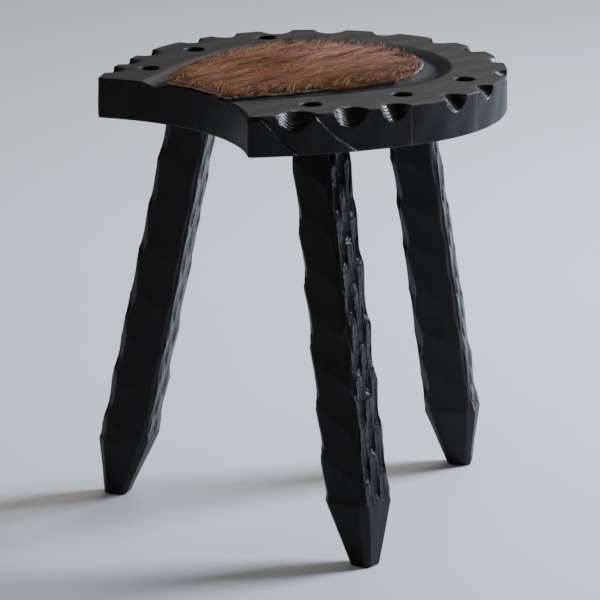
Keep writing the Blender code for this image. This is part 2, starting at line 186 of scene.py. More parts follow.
# name, share of a whole layer's hairs, length, height, lock size, lock pull, scatter, light tips
HAIR_LAYERS = (
    ("hide_underhair", 1.0, 0.028, 0.014, 120.0, 0.5, 0.16, 0.0),
    ("hide_hair_1", 1.0, 0.040, 0.024, 55.0, 0.8, 0.06, 0.05),
    ("hide_hair_2", 1.0, LONGEST_HAIR, 0.030, 70.0, 0.9, 0.06, 0.10),
    ("hide_hair_3", 1.0, 0.040, 0.036, 85.0, 0.9, 0.08, 0.20),
    ("hide_hair_4", 1.0, 0.034, 0.042, 60.0, 0.9, 0.10, 0.30),
    ("hide_tufts", 0.20, 0.020, 0.072, 210.0, 1.6, 0.20, 1.00),
    ("hide_strays", 0.0010, 0.036, 0.085, 20.0, 0.2, 0.45, 0.10),
)


# ================================================================== nodes
class Value:
    """A socket of a node tree. An operator on it adds a Math node."""

    def __init__(self, tree, socket):
        self.tree = tree
        self.socket = socket

    def math(self, operation, *others, clamp=False):
        settings = {"operation": operation, "use_clamp": clamp}
        values = dict(enumerate((self, *others)))
        return self.tree.node("ShaderNodeMath", settings, values)

    def __add__(self, other):
        return self.math("ADD", other)

    def __radd__(self, other):
        return self.math("ADD", other)

    def __sub__(self, other):
        return self.math("SUBTRACT", other)

    def __rsub__(self, other):
        return self.tree.number(other).math("SUBTRACT", self)

    def __mul__(self, other):
        return self.math("MULTIPLY", other)

    def __rmul__(self, other):
        return self.math("MULTIPLY", other)

    def __truediv__(self, other):
        return self.math("DIVIDE", other)

    def __pow__(self, other):
        return self.math("POWER", other)

    def between(self, low, high):
        """0 below low, 1 above high, smooth between them."""
        settings = {"interpolation_type": "SMOOTHSTEP"}
        values = {"Value": self, "From Min": low, "From Max": high}
        return self.tree.node("ShaderNodeMapRange", settings, values)


class Tree:
    """A node tree, shader or geometry, that any node is added to by one method."""

    def __init__(self, nodes):
        self.nodes = nodes.nodes
        self.links = nodes.links

    def node(self, kind, settings=None, values=None, out=0):
        made = self.nodes.new(kind)
        for name, setting in (settings or {}).items():
            setattr(made, name, setting)
        for name, value in (values or {}).items():
            self.join(self.input_of(made, name), value)
        return Value(self, self.output_of(made, out))

    def input_of(self, made, name):
        if isinstance(name, int):
            return made.inputs[name]
        return next(s for s in made.inputs if s.name == name and s.enabled)

    def output_of(self, made, out):
        if isinstance(out, str):
            return next(s for s in made.outputs if s.name == out and s.enabled)
        return [s for s in made.outputs if s.enabled][out] if made.outputs else None

    def join(self, socket, value):
        if isinstance(value, Value):
            self.links.new(value.socket, socket)
        else:
            socket.default_value = value

    def number(self, value):
        return self.node("ShaderNodeMath", {"operation": "ADD"}, {0: value, 1: 0.0})

    def blend(self, share, low, high):
        """A colour that goes from low to high."""
        values = {"Factor": share, "A": low, "B": high}
        return self.node("ShaderNodeMix", {"data_type": "RGBA"}, values)

    def vector(self, operation, *parts):
        return self.node("ShaderNodeVectorMath", {"operation": operation}, dict(enumerate(parts)))

    def split(self, vector):
        made = self.node("ShaderNodeSeparateXYZ", None, {"Vector": vector}).socket.node
        return [Value(self, socket) for socket in made.outputs]

    def cloud(self, place, scale, detail=3.0, rough=0.55, stretch=(1, 1, 1)):
        """Noise, stretched along the axes whose share is small."""
        scaled = self.vector("MULTIPLY", place, tuple(s * scale for s in stretch))
        values = {"Vector": scaled, "Scale": 1.0, "Detail": detail, "Roughness": rough}
        return self.node("ShaderNodeTexNoise", None, values)


def rgb(red, green, blue):
    return (red, green, blue, 1)


def finish(name, paint):
    """A material whose Principled shader gets what paint(tree) returns: sockets and constants."""
    material = bpy.data.materials.new(name)
    material.use_nodes = True
    tree = Tree(material.node_tree)
    shader = material.node_tree.nodes["Principled BSDF"]
    for socket, value in paint(tree).items():
        tree.join(shader.inputs[socket], value)
    return material


def object_place(tree):
    return tree.node("ShaderNodeTexCoord", out="Object")


def attribute(tree, name, out="Fac"):
    return tree.node("ShaderNodeAttribute", {"attribute_name": name}, out=out)


def bump(tree, height, distance, strength=1.0, under=None):
    values = {"Height": height, "Distance": distance, "Strength": strength}
    if under is not None:
        values["Normal"] = under
    return tree.node("ShaderNodeBump", None, values)


# ================================================================== materials
def blackened(tree, rings, fibre, polish, cracks=None, drawn=None):
    """Black-stained wood: rings, fibres, burnished cuts, brown rubbed edges, and painted shade that darkens
    the groove round the hide, which is also rougher.

    cracks is 1 on drying cracks, drawn is the height of the marks that a gouge has drawn.
    """
    place = object_place(tree)
    wear = attribute(tree, "wear")
    cut = attribute(tree, "cut")
    sunk_painted_shade = attribute(tree, "sunk_painted_shade")
    mottle = tree.cloud(place, 38, 4)
    dust = tree.cloud(place, 420, 2)
    base = tree.blend(mottle.between(0.35, 0.7), rgb(0.0030, 0.0026, 0.0023), rgb(0.0072, 0.0059, 0.0050))
    streaked = tree.blend(fibre.between(0.45, 0.75) * 0.5, base, rgb(0.0125, 0.0103, 0.0088))
    ringed = tree.blend(rings * 0.4, streaked, rgb(0.0026, 0.0023, 0.0022))
    darker = tree.blend(cut * 0.6, ringed, rgb(0.0032, 0.0031, 0.0033))
    rubbed = wear * tree.cloud(place, 95, 4).between(0.46, 0.66)
    worn = tree.blend(rubbed * 0.7, darker, rgb(0.075, 0.042, 0.029))
    specks = dust.between(0.76, 0.82) * 0.3
    colour = tree.blend(specks, worn, rgb(0.09, 0.084, 0.078))
    if cracks is not None:
        colour = tree.blend(cracks, colour, rgb(0.105, 0.062, 0.044))
    # painted shade: the groove round the hide is darkened to near black here, standing in for shade in the
    # recess
    colour = tree.blend(sunk_painted_shade * 0.85, colour, rgb(0.0022, 0.0020, 0.0019))
    rough = polish + mottle * 0.16 - cut * 0.25 + rubbed * 0.12 + sunk_painted_shade * 0.45
    grainy = bump(tree, fibre, 0.00035, 0.55)
    normal = bump(tree, rings, 0.0004, 0.22, grainy)
    if drawn is not None:
        normal = bump(tree, drawn, 0.0045, 0.8, normal)
    return {
        "Base Color": colour,
        "Roughness": rough,
        "Normal": normal,
        "Specular IOR Level": 0.245,
    }


def hairlines(tree, place):
    """1 on the fine drying cracks that run down the seat's side, 0 elsewhere."""
    x, y, z = tree.split(place)
    turn = (MIDDLE.x - x).math("ARCTAN2", y - MIDDLE.y)
    wobble = (tree.cloud(place, 60, 3) - 0.5) * 0.045
    found = None
    for degrees, half_width in CHECKS:
        beside = (turn - math.radians(degrees) + wobble).math("ABSOLUTE") * SEAT_RADIUS
        line = 1.0 - beside.between(half_width * 0.3, half_width)
        found = line if found is None else found.math("MAXIMUM", line)
    patchy = tree.cloud(place, 210, 2).between(0.30, 0.55) * 0.6 + 0.25
    return found * patchy * (SEAT_TOP - 0.002 - z).between(0.0, 0.003)


def seat_wood(tree):
    """Rings round a line that runs front to back below the seat, cut through by its faces."""
    place = object_place(tree)
    x, _, z = tree.split(place)
    wander = tree.cloud(place, 26, 2, 0.5, (1, 0.16, 1)) * 0.016
    across = x - 0.030 + wander
    above = z - (SEAT_LOW - 0.050)
    distance = (across * across + above * above) ** 0.5
    spacing = 0.0078
    wave = (distance * (2 * math.pi / spacing)).math("SINE")
    late = wave.between(0.35, 1.0) * 0.6
    fibre = tree.cloud(place, 900, 3, 0.6, (1, 0.022, 1))
    return blackened(tree, late, fibre, 0.40, hairlines(tree, place))


def leg_wood(tree):
    """The same wood with its fibres down the leg, on the leg's own upright coordinates."""
    place = attribute(tree, "grain", "Vector")
    wave = (tree.cloud(place, 34, 2, 0.5, (1, 1, 0.05)) * 26).math("SINE")
    fibre = tree.cloud(place, 700, 3, 0.6, (1, 1, 0.03))
    drawn = tree.cloud(place, 230, 3, 0.6, (1, 1, 0.15)) * attribute(tree, "gouged")
    return blackened(tree, wave.between(0.5, 1.0), fibre, 0.42, drawn=drawn)


def hair_coat(tree):
    """Reddish brown hair: dark at the root, fawn at the tip, in streaks that run down the hide."""
    place = object_place(tree)
    tone = attribute(tree, "tone")
    along = attribute(tree, "along")
    light = attribute(tree, "light")
    _, y, _ = tree.split(place)
    patch = tree.cloud(place, 24, 3, 0.5, (1, 0.30, 1))
    front = (patch * 0.10 - y).between(-0.02, 0.14)
    rust = tree.blend(patch.between(0.36, 0.64), rgb(0.088, 0.027, 0.0105), rgb(0.165, 0.060, 0.030))
    fawn = tree.blend(patch.between(0.40, 0.66), rgb(0.265, 0.105, 0.050), rgb(0.400, 0.200, 0.132))
    body = tree.blend(tone.between(0.10, 0.90), rust, fawn)
    orange = tree.blend(tone, rgb(0.115, 0.034, 0.0085), rgb(0.290, 0.105, 0.032))
    warm = tree.blend(front * 0.85, body, orange)
    shade = tree.cloud(place, 75, 3, 0.55, (1, 0.13, 1)).between(0.53, 0.68) * 0.62
    shaded = tree.blend(shade, warm, rgb(0.050, 0.0155, 0.0065))
    rooted = tree.blend(along.between(0.0, 0.45), rgb(0.040, 0.013, 0.006), shaded)
    colour = tree.blend(light * along.between(0.15, 0.7), rooted, rgb(0.50, 0.32, 0.21))
    return {"Base Color": colour, "Roughness": 0.65, "Specular IOR Level": 0.06}


def hide_skin(tree):
    """Skin: cream where it is cut, dark brown above and below."""
    place = object_place(tree)
    cut_face = attribute(tree, "cut")
    fleck = tree.cloud(place, 380, 3)
    streak = tree.cloud(place, 420, 3, 0.6, (1, 0.08, 1))
    top = tree.blend(streak.between(0.35, 0.7), rgb(0.060, 0.024, 0.012), rgb(0.21, 0.095, 0.048))
    cream = tree.blend(fleck.between(0.35, 0.65), rgb(0.23, 0.17, 0.115), rgb(0.50, 0.42, 0.31))
    colour = tree.blend(cut_face, top, cream)
    return {
        "Base Color": colour,
        "Roughness": 0.8,
        "Normal": bump(tree, fleck, 0.0004, 0.5),
    }


def blued_steel(tree):
    place = object_place(tree)
    spots = tree.cloud(place, 900, 3)
    colour = tree.blend(spots.between(0.45, 0.7), rgb(0.045, 0.046, 0.055), rgb(0.16, 0.085, 0.045))
    return {
        "Base Color": colour,
        "Metallic": 1.0 - spots.between(0.55, 0.75) * 0.7,
        "Roughness": spots * 0.3 + 0.25,
        "Normal": bump(tree, spots, 0.0001, 0.4),
    }


def wedge_wood(tree):
    place = object_place(tree)
    fibre = tree.cloud(place, 600, 4, 0.6, (1, 1, 0.04))
    colour = tree.blend(fibre.between(0.3, 0.7), rgb(0.20, 0.115, 0.055), rgb(0.40, 0.27, 0.15))
    return {"Base Color": colour, "Roughness": 0.65, "Normal": bump(tree, fibre, 0.0003, 0.5)}


def pale_floor(tree):
    place = object_place(tree)
    mottle = tree.cloud(place, 3, 4)
    colour = tree.blend(mottle, rgb(0.74, 0.735, 0.725), rgb(0.80, 0.795, 0.785))
    return {"Base Color": colour, "Roughness": 0.75, "Specular IOR Level": 0.2}


# ================================================================== mesh helpers
def lay(local_points):
    """Local points, in the frame's axes."""
    return local_points + np.array((MIDDLE.x, MIDDLE.y, 0.0))


def quads(first, rows, columns, closed):
    """Faces between rows of a grid whose point (row, column) has number first + row * columns + column."""
    row = np.arange(rows - 1)[:, None]
    column = np.arange(columns if closed else columns - 1)[None, :]
    after = (column + 1) % columns
    a = first + row * columns + column
    b = first + row * columns + after
    faces = np.stack([a, b, b + columns, a + columns], axis=-1)
    return faces.reshape(-1, 4).tolist()


def tube(first, rows, columns):
    """Faces of a tube whose rows are rings, closed at both ends."""
    last = first + (rows - 1) * columns
    start_cap = [first + i for i in reversed(range(columns))]
    end_cap = [last + i for i in range(columns)]
    return quads(first, rows, columns, True) + [start_cap, end_cap]


def new_piece(name, points, faces, material):
    mesh = bpy.data.meshes.new(name)
    mesh.from_pydata(np.asarray(points, float).tolist(), [], faces)
    mesh.materials.append(material)
    piece = bpy.data.objects.new(name, mesh)
    bpy.context.scene.collection.objects.link(piece)
    return piece


def weld(piece, distance=1e-5):
    bm = bmesh.new()
    bm.from_mesh(piece.data)
    bmesh.ops.remove_doubles(bm, verts=bm.verts[:], dist=distance)
    bmesh.ops.recalc_face_normals(bm, faces=bm.faces[:])
    bm.to_mesh(piece.data)
    bm.free()


def store(mesh, name, values):
    """A number, or a vector of three, at each vertex."""
    values = np.asarray(values, np.float32)
    kind, slot = ("FLOAT", "value") if values.ndim == 1 else ("FLOAT_VECTOR", "vector")
    made = mesh.attributes.get(name) or mesh.attributes.new(name, kind, "POINT")
    made.data.foreach_set(slot, values.ravel())


def smooth_step(values, low, high):
    share = np.clip((values - low) / (high - low), 0, 1)
    return share * share * (3 - 2 * share)


def soft_max(values, reach):
    """Like max(0, values), rounded within reach of 0."""
    near = np.abs(values) < reach
    return np.where(near, (values + reach) ** 2 / (4 * reach), np.maximum(values, 0))


def soft_min(a, b, reach):
    return a - soft_max(a - b, reach)


def cut_with(piece, cutter):
    """Takes the cutter out of the piece, and removes the cutter."""
    step = piece.modifiers.new("cut", "BOOLEAN")
    step.operation = "DIFFERENCE"
    step.solver = "EXACT"
    step.object = cutter
    settle(piece)
    bpy.data.objects.remove(cutter, do_unlink=True)


def settle(piece):
    """Replaces the piece's mesh by what its modifiers make of it, and removes them."""
    graph = bpy.context.evaluated_depsgraph_get()
    made = bpy.data.meshes.new_from_object(piece.evaluated_get(graph))
    piece.modifiers.clear()
    piece.data = made


def turned(name, profiles, sides, material):
    """Closed round solids in one mesh. A profile is (start, way, [(distance along, radius), ...])."""
    points, faces = [], []
    for start, way, profile in profiles:
        way = Vector(way).normalized()
        across = way.orthogonal().normalized()
        beside = way.cross(across)
        first = len(points)
        for along, radius in profile:
            for i in range(sides):
                angle = 2 * math.pi * i / sides
                side = math.cos(angle) * across + math.sin(angle) * beside
                points.append(Vector(start) + along * way + radius * side)
        faces += tube(first, len(profile), sides)
    return new_piece(name, points, faces, material)


def ride_as(piece, slot, *nodes):
    """The piece moves with the stool and stands for CAD nodes, which it hides. Its slot is not used."""
    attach(piece, "root")
    if nodes:
        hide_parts(*nodes)


# ================================================================== outlines, local
def arc_line(centre, radius, start, end, step=LINE_STEP):
    count = max(3, int(abs(end - start) * radius / step))
    angles = np.linspace(start, end, count)
    return centre + radius * np.stack([np.cos(angles), np.sin(angles)], axis=1)


def bulged(start, end, rise):
    """An arc between two points that stands off its chord by rise, to the right of the way along."""
    chord = end - start
    half = np.linalg.norm(chord) / 2
    radius = (half * half + rise * rise) / (2 * abs(rise))
    right = np.array((chord[1], -chord[0])) / (2 * half) * math.copysign(1, rise)
    centre = (start + end) / 2 - right * (radius - abs(rise))
    spread = math.copysign(math.asin(half / radius), rise)
    middle = math.atan2(right[1], right[0])
    return arc_line(centre, radius, middle - spread, middle + spread)


def side_line(start, tangent, corner):
    """The straighter side, from the round back's end to the corner."""
    chord = corner - start
    turn = math.atan2(tangent[0] * chord[1] - tangent[1] * chord[0], tangent @ chord)
    return bulged(start, corner, np.linalg.norm(chord) / 2 * math.tan(turn / 2))


def lengths(line):
    steps = np.linalg.norm(np.diff(line, axis=0), axis=1)
    return np.concatenate([[0], np.cumsum(steps)])


def at(line, distances):
    """The points at these distances along a line."""
    along = lengths(line)
    return np.stack([np.interp(distances, along, line[:, k]) for k in (0, 1)], axis=1)


def part_of(line, start, end):
    count = max(3, int((end - start) / LINE_STEP))
    return at(line, np.linspace(start, end, count))


def rounded_corner(before, after):
    """Cuts both lines back and returns them with the arc that joins them, in two halves."""
    corner = before[-1]
    back = before[-2] - corner
    on = after[1] - corner
    back, on = back / np.linalg.norm(back), on / np.linalg.norm(on)
    half = math.acos(np.clip(back @ on, -1, 1)) / 2
    reach = CORNER_ROUND / math.tan(half)
    inward = (back + on) / np.linalg.norm(back + on)
    centre = corner + inward * CORNER_ROUND / math.sin(half)
    before = part_of(before, 0, lengths(before)[-1] - reach)
    after = part_of(after, reach, lengths(after)[-1])
    start = before[-1] - centre
    end = after[0] - centre
    first = math.atan2(start[1], start[0])
    turn = (math.atan2(end[1], end[0]) - first + math.pi) % (2 * math.pi) - math.pi
    halves = [
        arc_line(centre, CORNER_ROUND, first, first + turn / 2, 0.0001),
        arc_line(centre, CORNER_ROUND, first + turn / 2, first + turn, 0.0001),
    ]
    return before, halves, after


def slab_lines():
    """The round side from the right corner to the left one, and the front back to the right."""
    start, end = -SIDE_START, math.pi + SIDE_START
    back = arc_line(SEAT_CENTRE, SEAT_RADIUS, start, end)
    left = side_line(back[-1], np.array((-math.sin(end), math.cos(end))), CORNER_LEFT)
    right = side_line(back[0], np.array((math.sin(start), -math.cos(start))), CORNER_RIGHT)[::-1]
    front = bulged(CORNER_LEFT, CORNER_RIGHT, -FRONT_HOLLOW)
    left, left_arc, front = rounded_corner(left, front)
    front, right_arc, right = rounded_corner(front, right)
    outer = np.concatenate([right_arc[1], right[1:], back[1:], left[1:], left_arc[0][1:]])
    inner = np.concatenate([left_arc[1], front[1:], right_arc[0][1:]])
    return outer, inner


def right_of(line):
    """At each point, the direction square to the line on its right."""
    along = np.gradient(line, axis=0)
    along /= np.linalg.norm(along, axis=1)[:, None]
    return np.stack([along[:, 1], -along[:, 0]], axis=1)


def hide_half_width(y):
    share = np.clip((HIDE_CENTRE_Y - y) / HIDE_TAPER_LENGTH, 0, None)
    narrow = HIDE_RADIUS - HIDE_TAPER * share**HIDE_TAPER_POWER
    round_ = np.sqrt(np.clip(HIDE_RADIUS**2 - (y - HIDE_CENTRE_Y) ** 2, 0, None))
    return np.where(y >= HIDE_CENTRE_Y, round_, narrow)


def hide_side():
    """The hide's edge from past the front on the right, round the back, to the left."""
    low = CORNER_RIGHT[1] - GROOVE_WIDTH
    y = np.arange(low, HIDE_CENTRE_Y, 0.0004)
    right = np.stack([hide_half_width(y), y], axis=1)
    back = arc_line(np.array((0, HIDE_CENTRE_Y)), HIDE_RADIUS, 0, math.pi, 0.0004)
    left = (right * (-1, 1))[::-1]
    return np.concatenate([right, back, left])


def front_y(x, front):
    order = np.argsort(front[:, 0])
    return np.interp(x, front[order, 0], front[order, 1])


OUTER, FRONT = slab_lines()
OUTLINE = np.concatenate([OUTER, FRONT[1:-1]])
OUTLINE_OUT = right_of(np.concatenate([OUTLINE[-1:], OUTLINE, OUTLINE[:1]]))[1:-1]
_side = hide_side()
_inside = _side[:, 1] > front_y(_side[:, 0], FRONT)
HIDE_SIDE = _side[_inside]  # from the front face on the right round to the front face on the left
HIDE_WAY = (lengths(_side) / lengths(_side)[-1])[_inside]


def groove_size(way):
    return GROOVE_START + (1 - GROOVE_START) * np.clip(way / GROOVE_GROWN, 0, 1)


def edge_distance(points):
    """How far each flat point lies inside the slab's outline, and the way outwards there."""
    best = np.full(len(points), FAR)
    out = np.zeros((len(points), 2))
    thin = OUTLINE[::3]
    thin_out = OUTLINE_OUT[::3]
    for start in range(0, len(points), MEASURED_AT_ONCE):
        part = slice(start, start + MEASURED_AT_ONCE)
        some = points[part]
        away = np.linalg.norm(some[:, None] - thin[None], axis=2)
        nearest = away.argmin(axis=1)
        inside = ((thin[nearest] - some) * thin_out[nearest]).sum(axis=1)
        best[part] = np.maximum(inside, 0)
        out[part] = thin_out[nearest]
    return best, out


# ================================================================== the carved seat
def edge_at(turn):
    """The outline's point in the direction of a turn from the back, and that direction."""
    angle = math.pi / 2 + math.radians(turn)
    way = np.array((math.cos(angle), math.sin(angle)))
    beside = OUTLINE @ np.array((-way[1], way[0]))
    ahead = OUTLINE @ way
    place = np.where(ahead > 0, np.abs(beside), FAR).argmin()
    return ahead[place] * way, way


def notch_cut(points, notch, seed):
    """How far each point lies inside a gouged notch, square to its floor, and the way out of it."""
    turn, width, depth = notch
    edge, way = edge_at(turn)
    out = np.array((*way, 0.0))
    up = np.array((0.0, 0.0, 1.0))
    away = math.sin(NOTCH_SLOPE) * out + math.cos(NOTCH_SLOPE) * up
    along = math.cos(NOTCH_SLOPE) * out - math.sin(NOTCH_SLOPE) * up
    across = np.array((-way[1], way[0], 0.0))
    from_edge = points - np.array((*edge, SEAT_TOP))
    tau = from_edge @ across
    radius = (width * width / 4 + depth * depth) / (2 * depth)
    inside = np.abs(tau) < radius
    floor = (radius - depth) - np.sqrt(np.where(inside, radius**2 - tau**2, 0))
    steps = (from_edge @ along) / CHATTER_PITCH + 0.9 * np.sin(seed * 2.7 + tau * 160) + seed * 0.37
    ripple = CHATTER_DEEP * (1 - np.abs(np.sin(math.pi * steps)))
    steep = smooth_step(-tau, 0.04 * width, 0.24 * width)
    floor = floor + ripple * steep
    deep = np.where(inside, from_edge @ away - floor, -1)
    return deep, away


def carve(points):
    """Moves points inside a notch down to its floor. Also returns the marks of cuts and rubbed edges."""
    cut = np.zeros(len(points))
    wear = np.zeros(len(points))
    for seed, notch in enumerate(NOTCHES):
        edge, _ = edge_at(notch[0])
        near = np.linalg.norm(points[:, :2] - edge, axis=1) < 0.04
        deep, away = notch_cut(points[near], notch, seed)
        push = soft_max(deep, NOTCH_SOFTER if notch[0] > SOFTER_FROM else NOTCH_SOFT)
        points[near] -= push[:, None] * away
        cut[near] = np.maximum(cut[near], smooth_step(deep, 0.0, 0.0012))
        rim = np.exp(-((deep / 0.0012) ** 2))
        wear[near] = np.maximum(wear[near], rim)
    return cut, wear


def spaced_columns():
    """Distances along the round side: close together where a notch's walls are."""
    along = lengths(OUTER)
    probe = np.arange(0, along[-1], LINE_STEP)
    places = at(OUTER, probe)
    spacing = np.full(len(probe), 0.0016)
    for turn, width, _ in NOTCHES:
        edge, way = edge_at(turn)
        tau = np.abs((places - edge) @ np.array((-way[1], way[0])))
        same_side = (places - edge) @ way > -0.02
        middle = same_side & (tau < width / 2)
        wall = same_side & (tau < width / 2 + 0.0012) & (tau > width / 2 - 0.006)
        spacing[middle] = np.minimum(spacing[middle], 0.0012)
        spacing[wall] = 0.00075
    ends = np.minimum(probe, along[-1] - probe)
    spacing[ends < 0.0035] = 0.00045
    count = np.concatenate([[0], np.cumsum(LINE_STEP / spacing[:-1])])
    steps = np.linspace(0, count[-1], int(count[-1]) + 1)
    return np.interp(steps, count, probe)


EASED_ROWS = [0, 0.3e-3, 0.65e-3, 1.1e-3, 1.6e-3]  # over a rounded edge
RIM_ROWS = np.concatenate([EASED_ROWS, np.arange(2.4e-3, 18.4e-3, 0.8e-3)])
MIDDLE_ROWS = np.linspace(0, 1, 9)[1:-1]
GROOVE_ROWS = np.array(
    [1.10, 1.05, 1.01, 0.97, 0.92, 0.82, 0.71, 0.60, 0.54]
    + [0.50, 0.46, 0.40, 0.29, 0.18, 0.09, 0.03, -0.02, -0.06]
)
WALL_ROWS = np.concatenate(
    [
        EASED_ROWS,
        np.arange(2.4e-3, 15.0e-3, 0.8e-3),
        np.linspace(16.2e-3, 37.6e-3, 15),
        [38.4e-3, 38.9e-3, 39.35e-3, 39.7e-3, 40e-3],
    ]
)

UNDER_ROWS = (0.35e-3, 0.8e-3, 1.6e-3, 6e-3)


def groove_shape(across):
    """0 at the lips and 1 at the bottom of the V, with the bottom and the lips eased."""
    v = 1 - np.abs(2 * across - 1)
    eased = soft_max(v, 0.10)
    return eased - soft_max(eased - 0.93, 0.06) * 0.9


def strip_rows(outer, out, hide, hide_out, size, front_points, near_end):
    """The flat places of the strip between rim and hide, one row of places for each column."""
    rim = outer[:, None] - out[:, None] * RIM_ROWS[None, :, None]
    width = GROOVE_WIDTH * size
    groove = hide[:, None] + hide_out[:, None] * (width[:, None] * GROOVE_ROWS[None])[..., None]
    rim_count, middle_count = len(RIM_ROWS), len(MIDDLE_ROWS)
    share = near_end[:, None, None]
    front_rim = front_points[:rim_count]
    front_groove = front_points[rim_count + middle_count :]
    rim = rim * (1 - share) + (outer[:, None] + front_rim[None] - front_rim[0]) * share
    groove = groove * (1 - share) + (hide[:, None] + front_groove[None] - at_hide(front_points)) * share
    part = MIDDLE_ROWS[None, :, None]
    middle = rim[:, -1:] * (1 - part) + groove[:, :1] * part
    straight = front_rim[-1] * (1 - part[0]) + front_groove[0] * part[0]
    bend = front_points[rim_count : rim_count + middle_count] - straight
    middle = middle + bend[None] * share
    return np.concatenate([rim, middle, groove], axis=1)


def at_hide(front_points):
    """Where the front's row of places meets the hide's edge."""
    last = len(front_points) - len(GROOVE_ROWS)
    groove = front_points[last:]
    return np.array([np.interp(0, GROOVE_ROWS[::-1], groove[::-1, k]) for k in (0, 1)])


def front_end(from_left):
    """The strip's row of places along the front, from a corner inwards, and the same as distances."""
    line = FRONT if from_left else FRONT[::-1]
    hide_point = HIDE_SIDE[-1] if from_left else HIDE_SIDE[0]
    along = lengths(line)
    meets = along[np.linalg.norm(line - hide_point, axis=1).argmin()]
    hide_out = right_of(HIDE_SIDE)[-1 if from_left else 0]
    k = np.searchsorted(along, meets)
    tangent = (line[k + 1] - line[k - 1]) / np.linalg.norm(line[k + 1] - line[k - 1])
    size = groove_size(HIDE_WAY[-1 if from_left else 0])
    reach = GROOVE_WIDTH * size / abs(tangent @ hide_out)
    groove = meets - GROOVE_ROWS * reach
    middle = RIM_ROWS[-1] + (groove[0] - RIM_ROWS[-1]) * MIDDLE_ROWS
    distances = np.concatenate([RIM_ROWS, middle, groove])
    return at(line, distances), distances


def seat_top_and_wall():
    """The round side's outline, the flat places of the top from rim to hide, and the groove's depths."""
    columns = spaced_columns()
    outer = at(OUTER, columns)
    total = columns[-1]
    # near a corner the columns keep the direction that the side has a little way on
    kept = np.clip(columns, 0.012, total - 0.012)
    steady = at(OUTER, kept)
    ahead = at(OUTER, kept + 0.0005)
    along = (ahead - steady) / np.linalg.norm(ahead - steady, axis=1)[:, None]
    out = np.stack([along[:, 1], -along[:, 0]], axis=1)
    centre = np.array((0, -0.02))
    turn = np.unwrap(np.arctan2(*(outer - centre).T[::-1]))
    hide_turn = np.unwrap(np.arctan2(*(HIDE_SIDE - centre).T[::-1]))
    share = (turn - turn[0]) / (turn[-1] - turn[0])
    wanted = hide_turn[0] + share * (hide_turn[-1] - hide_turn[0])
    index = np.interp(wanted, hide_turn, np.arange(len(HIDE_SIDE)))
    whole = np.arange(len(HIDE_SIDE))
    hide_out_all = right_of(HIDE_SIDE)

    def on_hide(values):
        return np.stack([np.interp(index, whole, values[:, k]) for k in (0, 1)], axis=1)

    size = groove_size(np.interp(index, whole, HIDE_WAY))
    hide, hide_out = on_hide(HIDE_SIDE), on_hide(hide_out_all)
    left_places, _ = front_end(True)
    right_places, _ = front_end(False)
    near_right = 1 - smooth_step(columns, 0.0, 0.045)
    near_left = 1 - smooth_step(total - columns, 0.0, 0.045)
    right = strip_rows(outer, out, hide, hide_out, size, right_places, near_right)
    left = strip_rows(outer, out, hide, hide_out, size, left_places, near_left)
    second_half = (share > 0.5)[:, None, None]
    flat = np.where(second_half, left, right)
    flat[0], flat[-1] = right_places, left_places
    depth = np.zeros(flat.shape[:2])
    way = np.interp(index, whole, HIDE_WAY)
    worn = 1 - GROOVE_WORN * smooth_step(way, *GROOVE_WORN_WAY)
    deepest = GROOVE_DEPTH * size * worn
    depth[:, -len(GROOVE_ROWS) :] = groove_shape(GROOVE_ROWS)[None] * deepest[:, None]
    return outer, flat, depth


def round_top_edge(points):
    """Rounds the slab's upper edge: points of the top that lie close to the outline drop and move in."""
    near, out = edge_distance(points[:, :2])
    turn = math.pi / 4 * (1 + np.clip(near / EDGE_ROUND, 0, 1))
    inset = EDGE_ROUND * (1 - np.cos(turn))
    drop = EDGE_ROUND * (1 - np.sin(turn))
    close = near < EDGE_ROUND
    points[close, :2] -= (out * (inset - near)[:, None])[close]
    points[close, 2] -= drop[close]
    return near


def wall_points(line, line_out, top_depth):
    """The wall under a line of the outline: rows of places from its top edge to its bottom edge."""
    rows = WALL_ROWS[:, None]
    height = SEAT_TOP - rows - top_depth[None] * (1 - rows / (SEAT_TOP - SEAT_LOW))
    upper = math.pi / 4 * (1 - np.clip(WALL_ROWS / EDGE_ROUND, 0, 1))
    lower = math.pi / 4 * (1 - np.clip((WALL_ROWS[-1] - WALL_ROWS) / EDGE_ROUND, 0, 1))
    inset = EDGE_ROUND * (2 - np.cos(upper) - np.cos(lower))
    at_top = WALL_ROWS < EDGE_ROUND
    at_low = WALL_ROWS[-1] - WALL_ROWS < EDGE_ROUND
    drop = np.where(at_top, EDGE_ROUND * (1 - np.sin(upper)) - WALL_ROWS, 0)
    rise = np.where(at_low, EDGE_ROUND * (1 - np.sin(lower)) - (WALL_ROWS[-1] - WALL_ROWS), 0)
    height = height - drop[:, None] + rise[:, None]
    flat = line[None] - line_out[None] * inset[:, None, None]
    return np.concatenate([flat, height[..., None]], axis=2)


def turn_of(points):
    return np.degrees(np.arctan2(-points[:, 0], points[:, 1]))


def ridge_lift(turns, below, radius):
    """Steps of the wall along lines where harder growth rings were left standing."""
    lift = np.zeros(len(turns))
    line = np.zeros(len(turns))
    share = below / (SEAT_TOP - SEAT_LOW)
    for top, low, height, run in RIDGES:
        at_height = top + (low - top) * share + 0.8 * np.sin(share * 5 + top)
        beyond = np.radians(at_height - turns) * radius
        rise = np.where(beyond < 0, np.exp(np.minimum(beyond, 0) / 0.0012), np.exp(-beyond / run))
        fade = smooth_step(share, 0.02, 0.12)
        lift += height * rise * fade
        line = np.maximum(line, np.exp(-((beyond / 0.0011) ** 2)) * fade)
    return lift, line


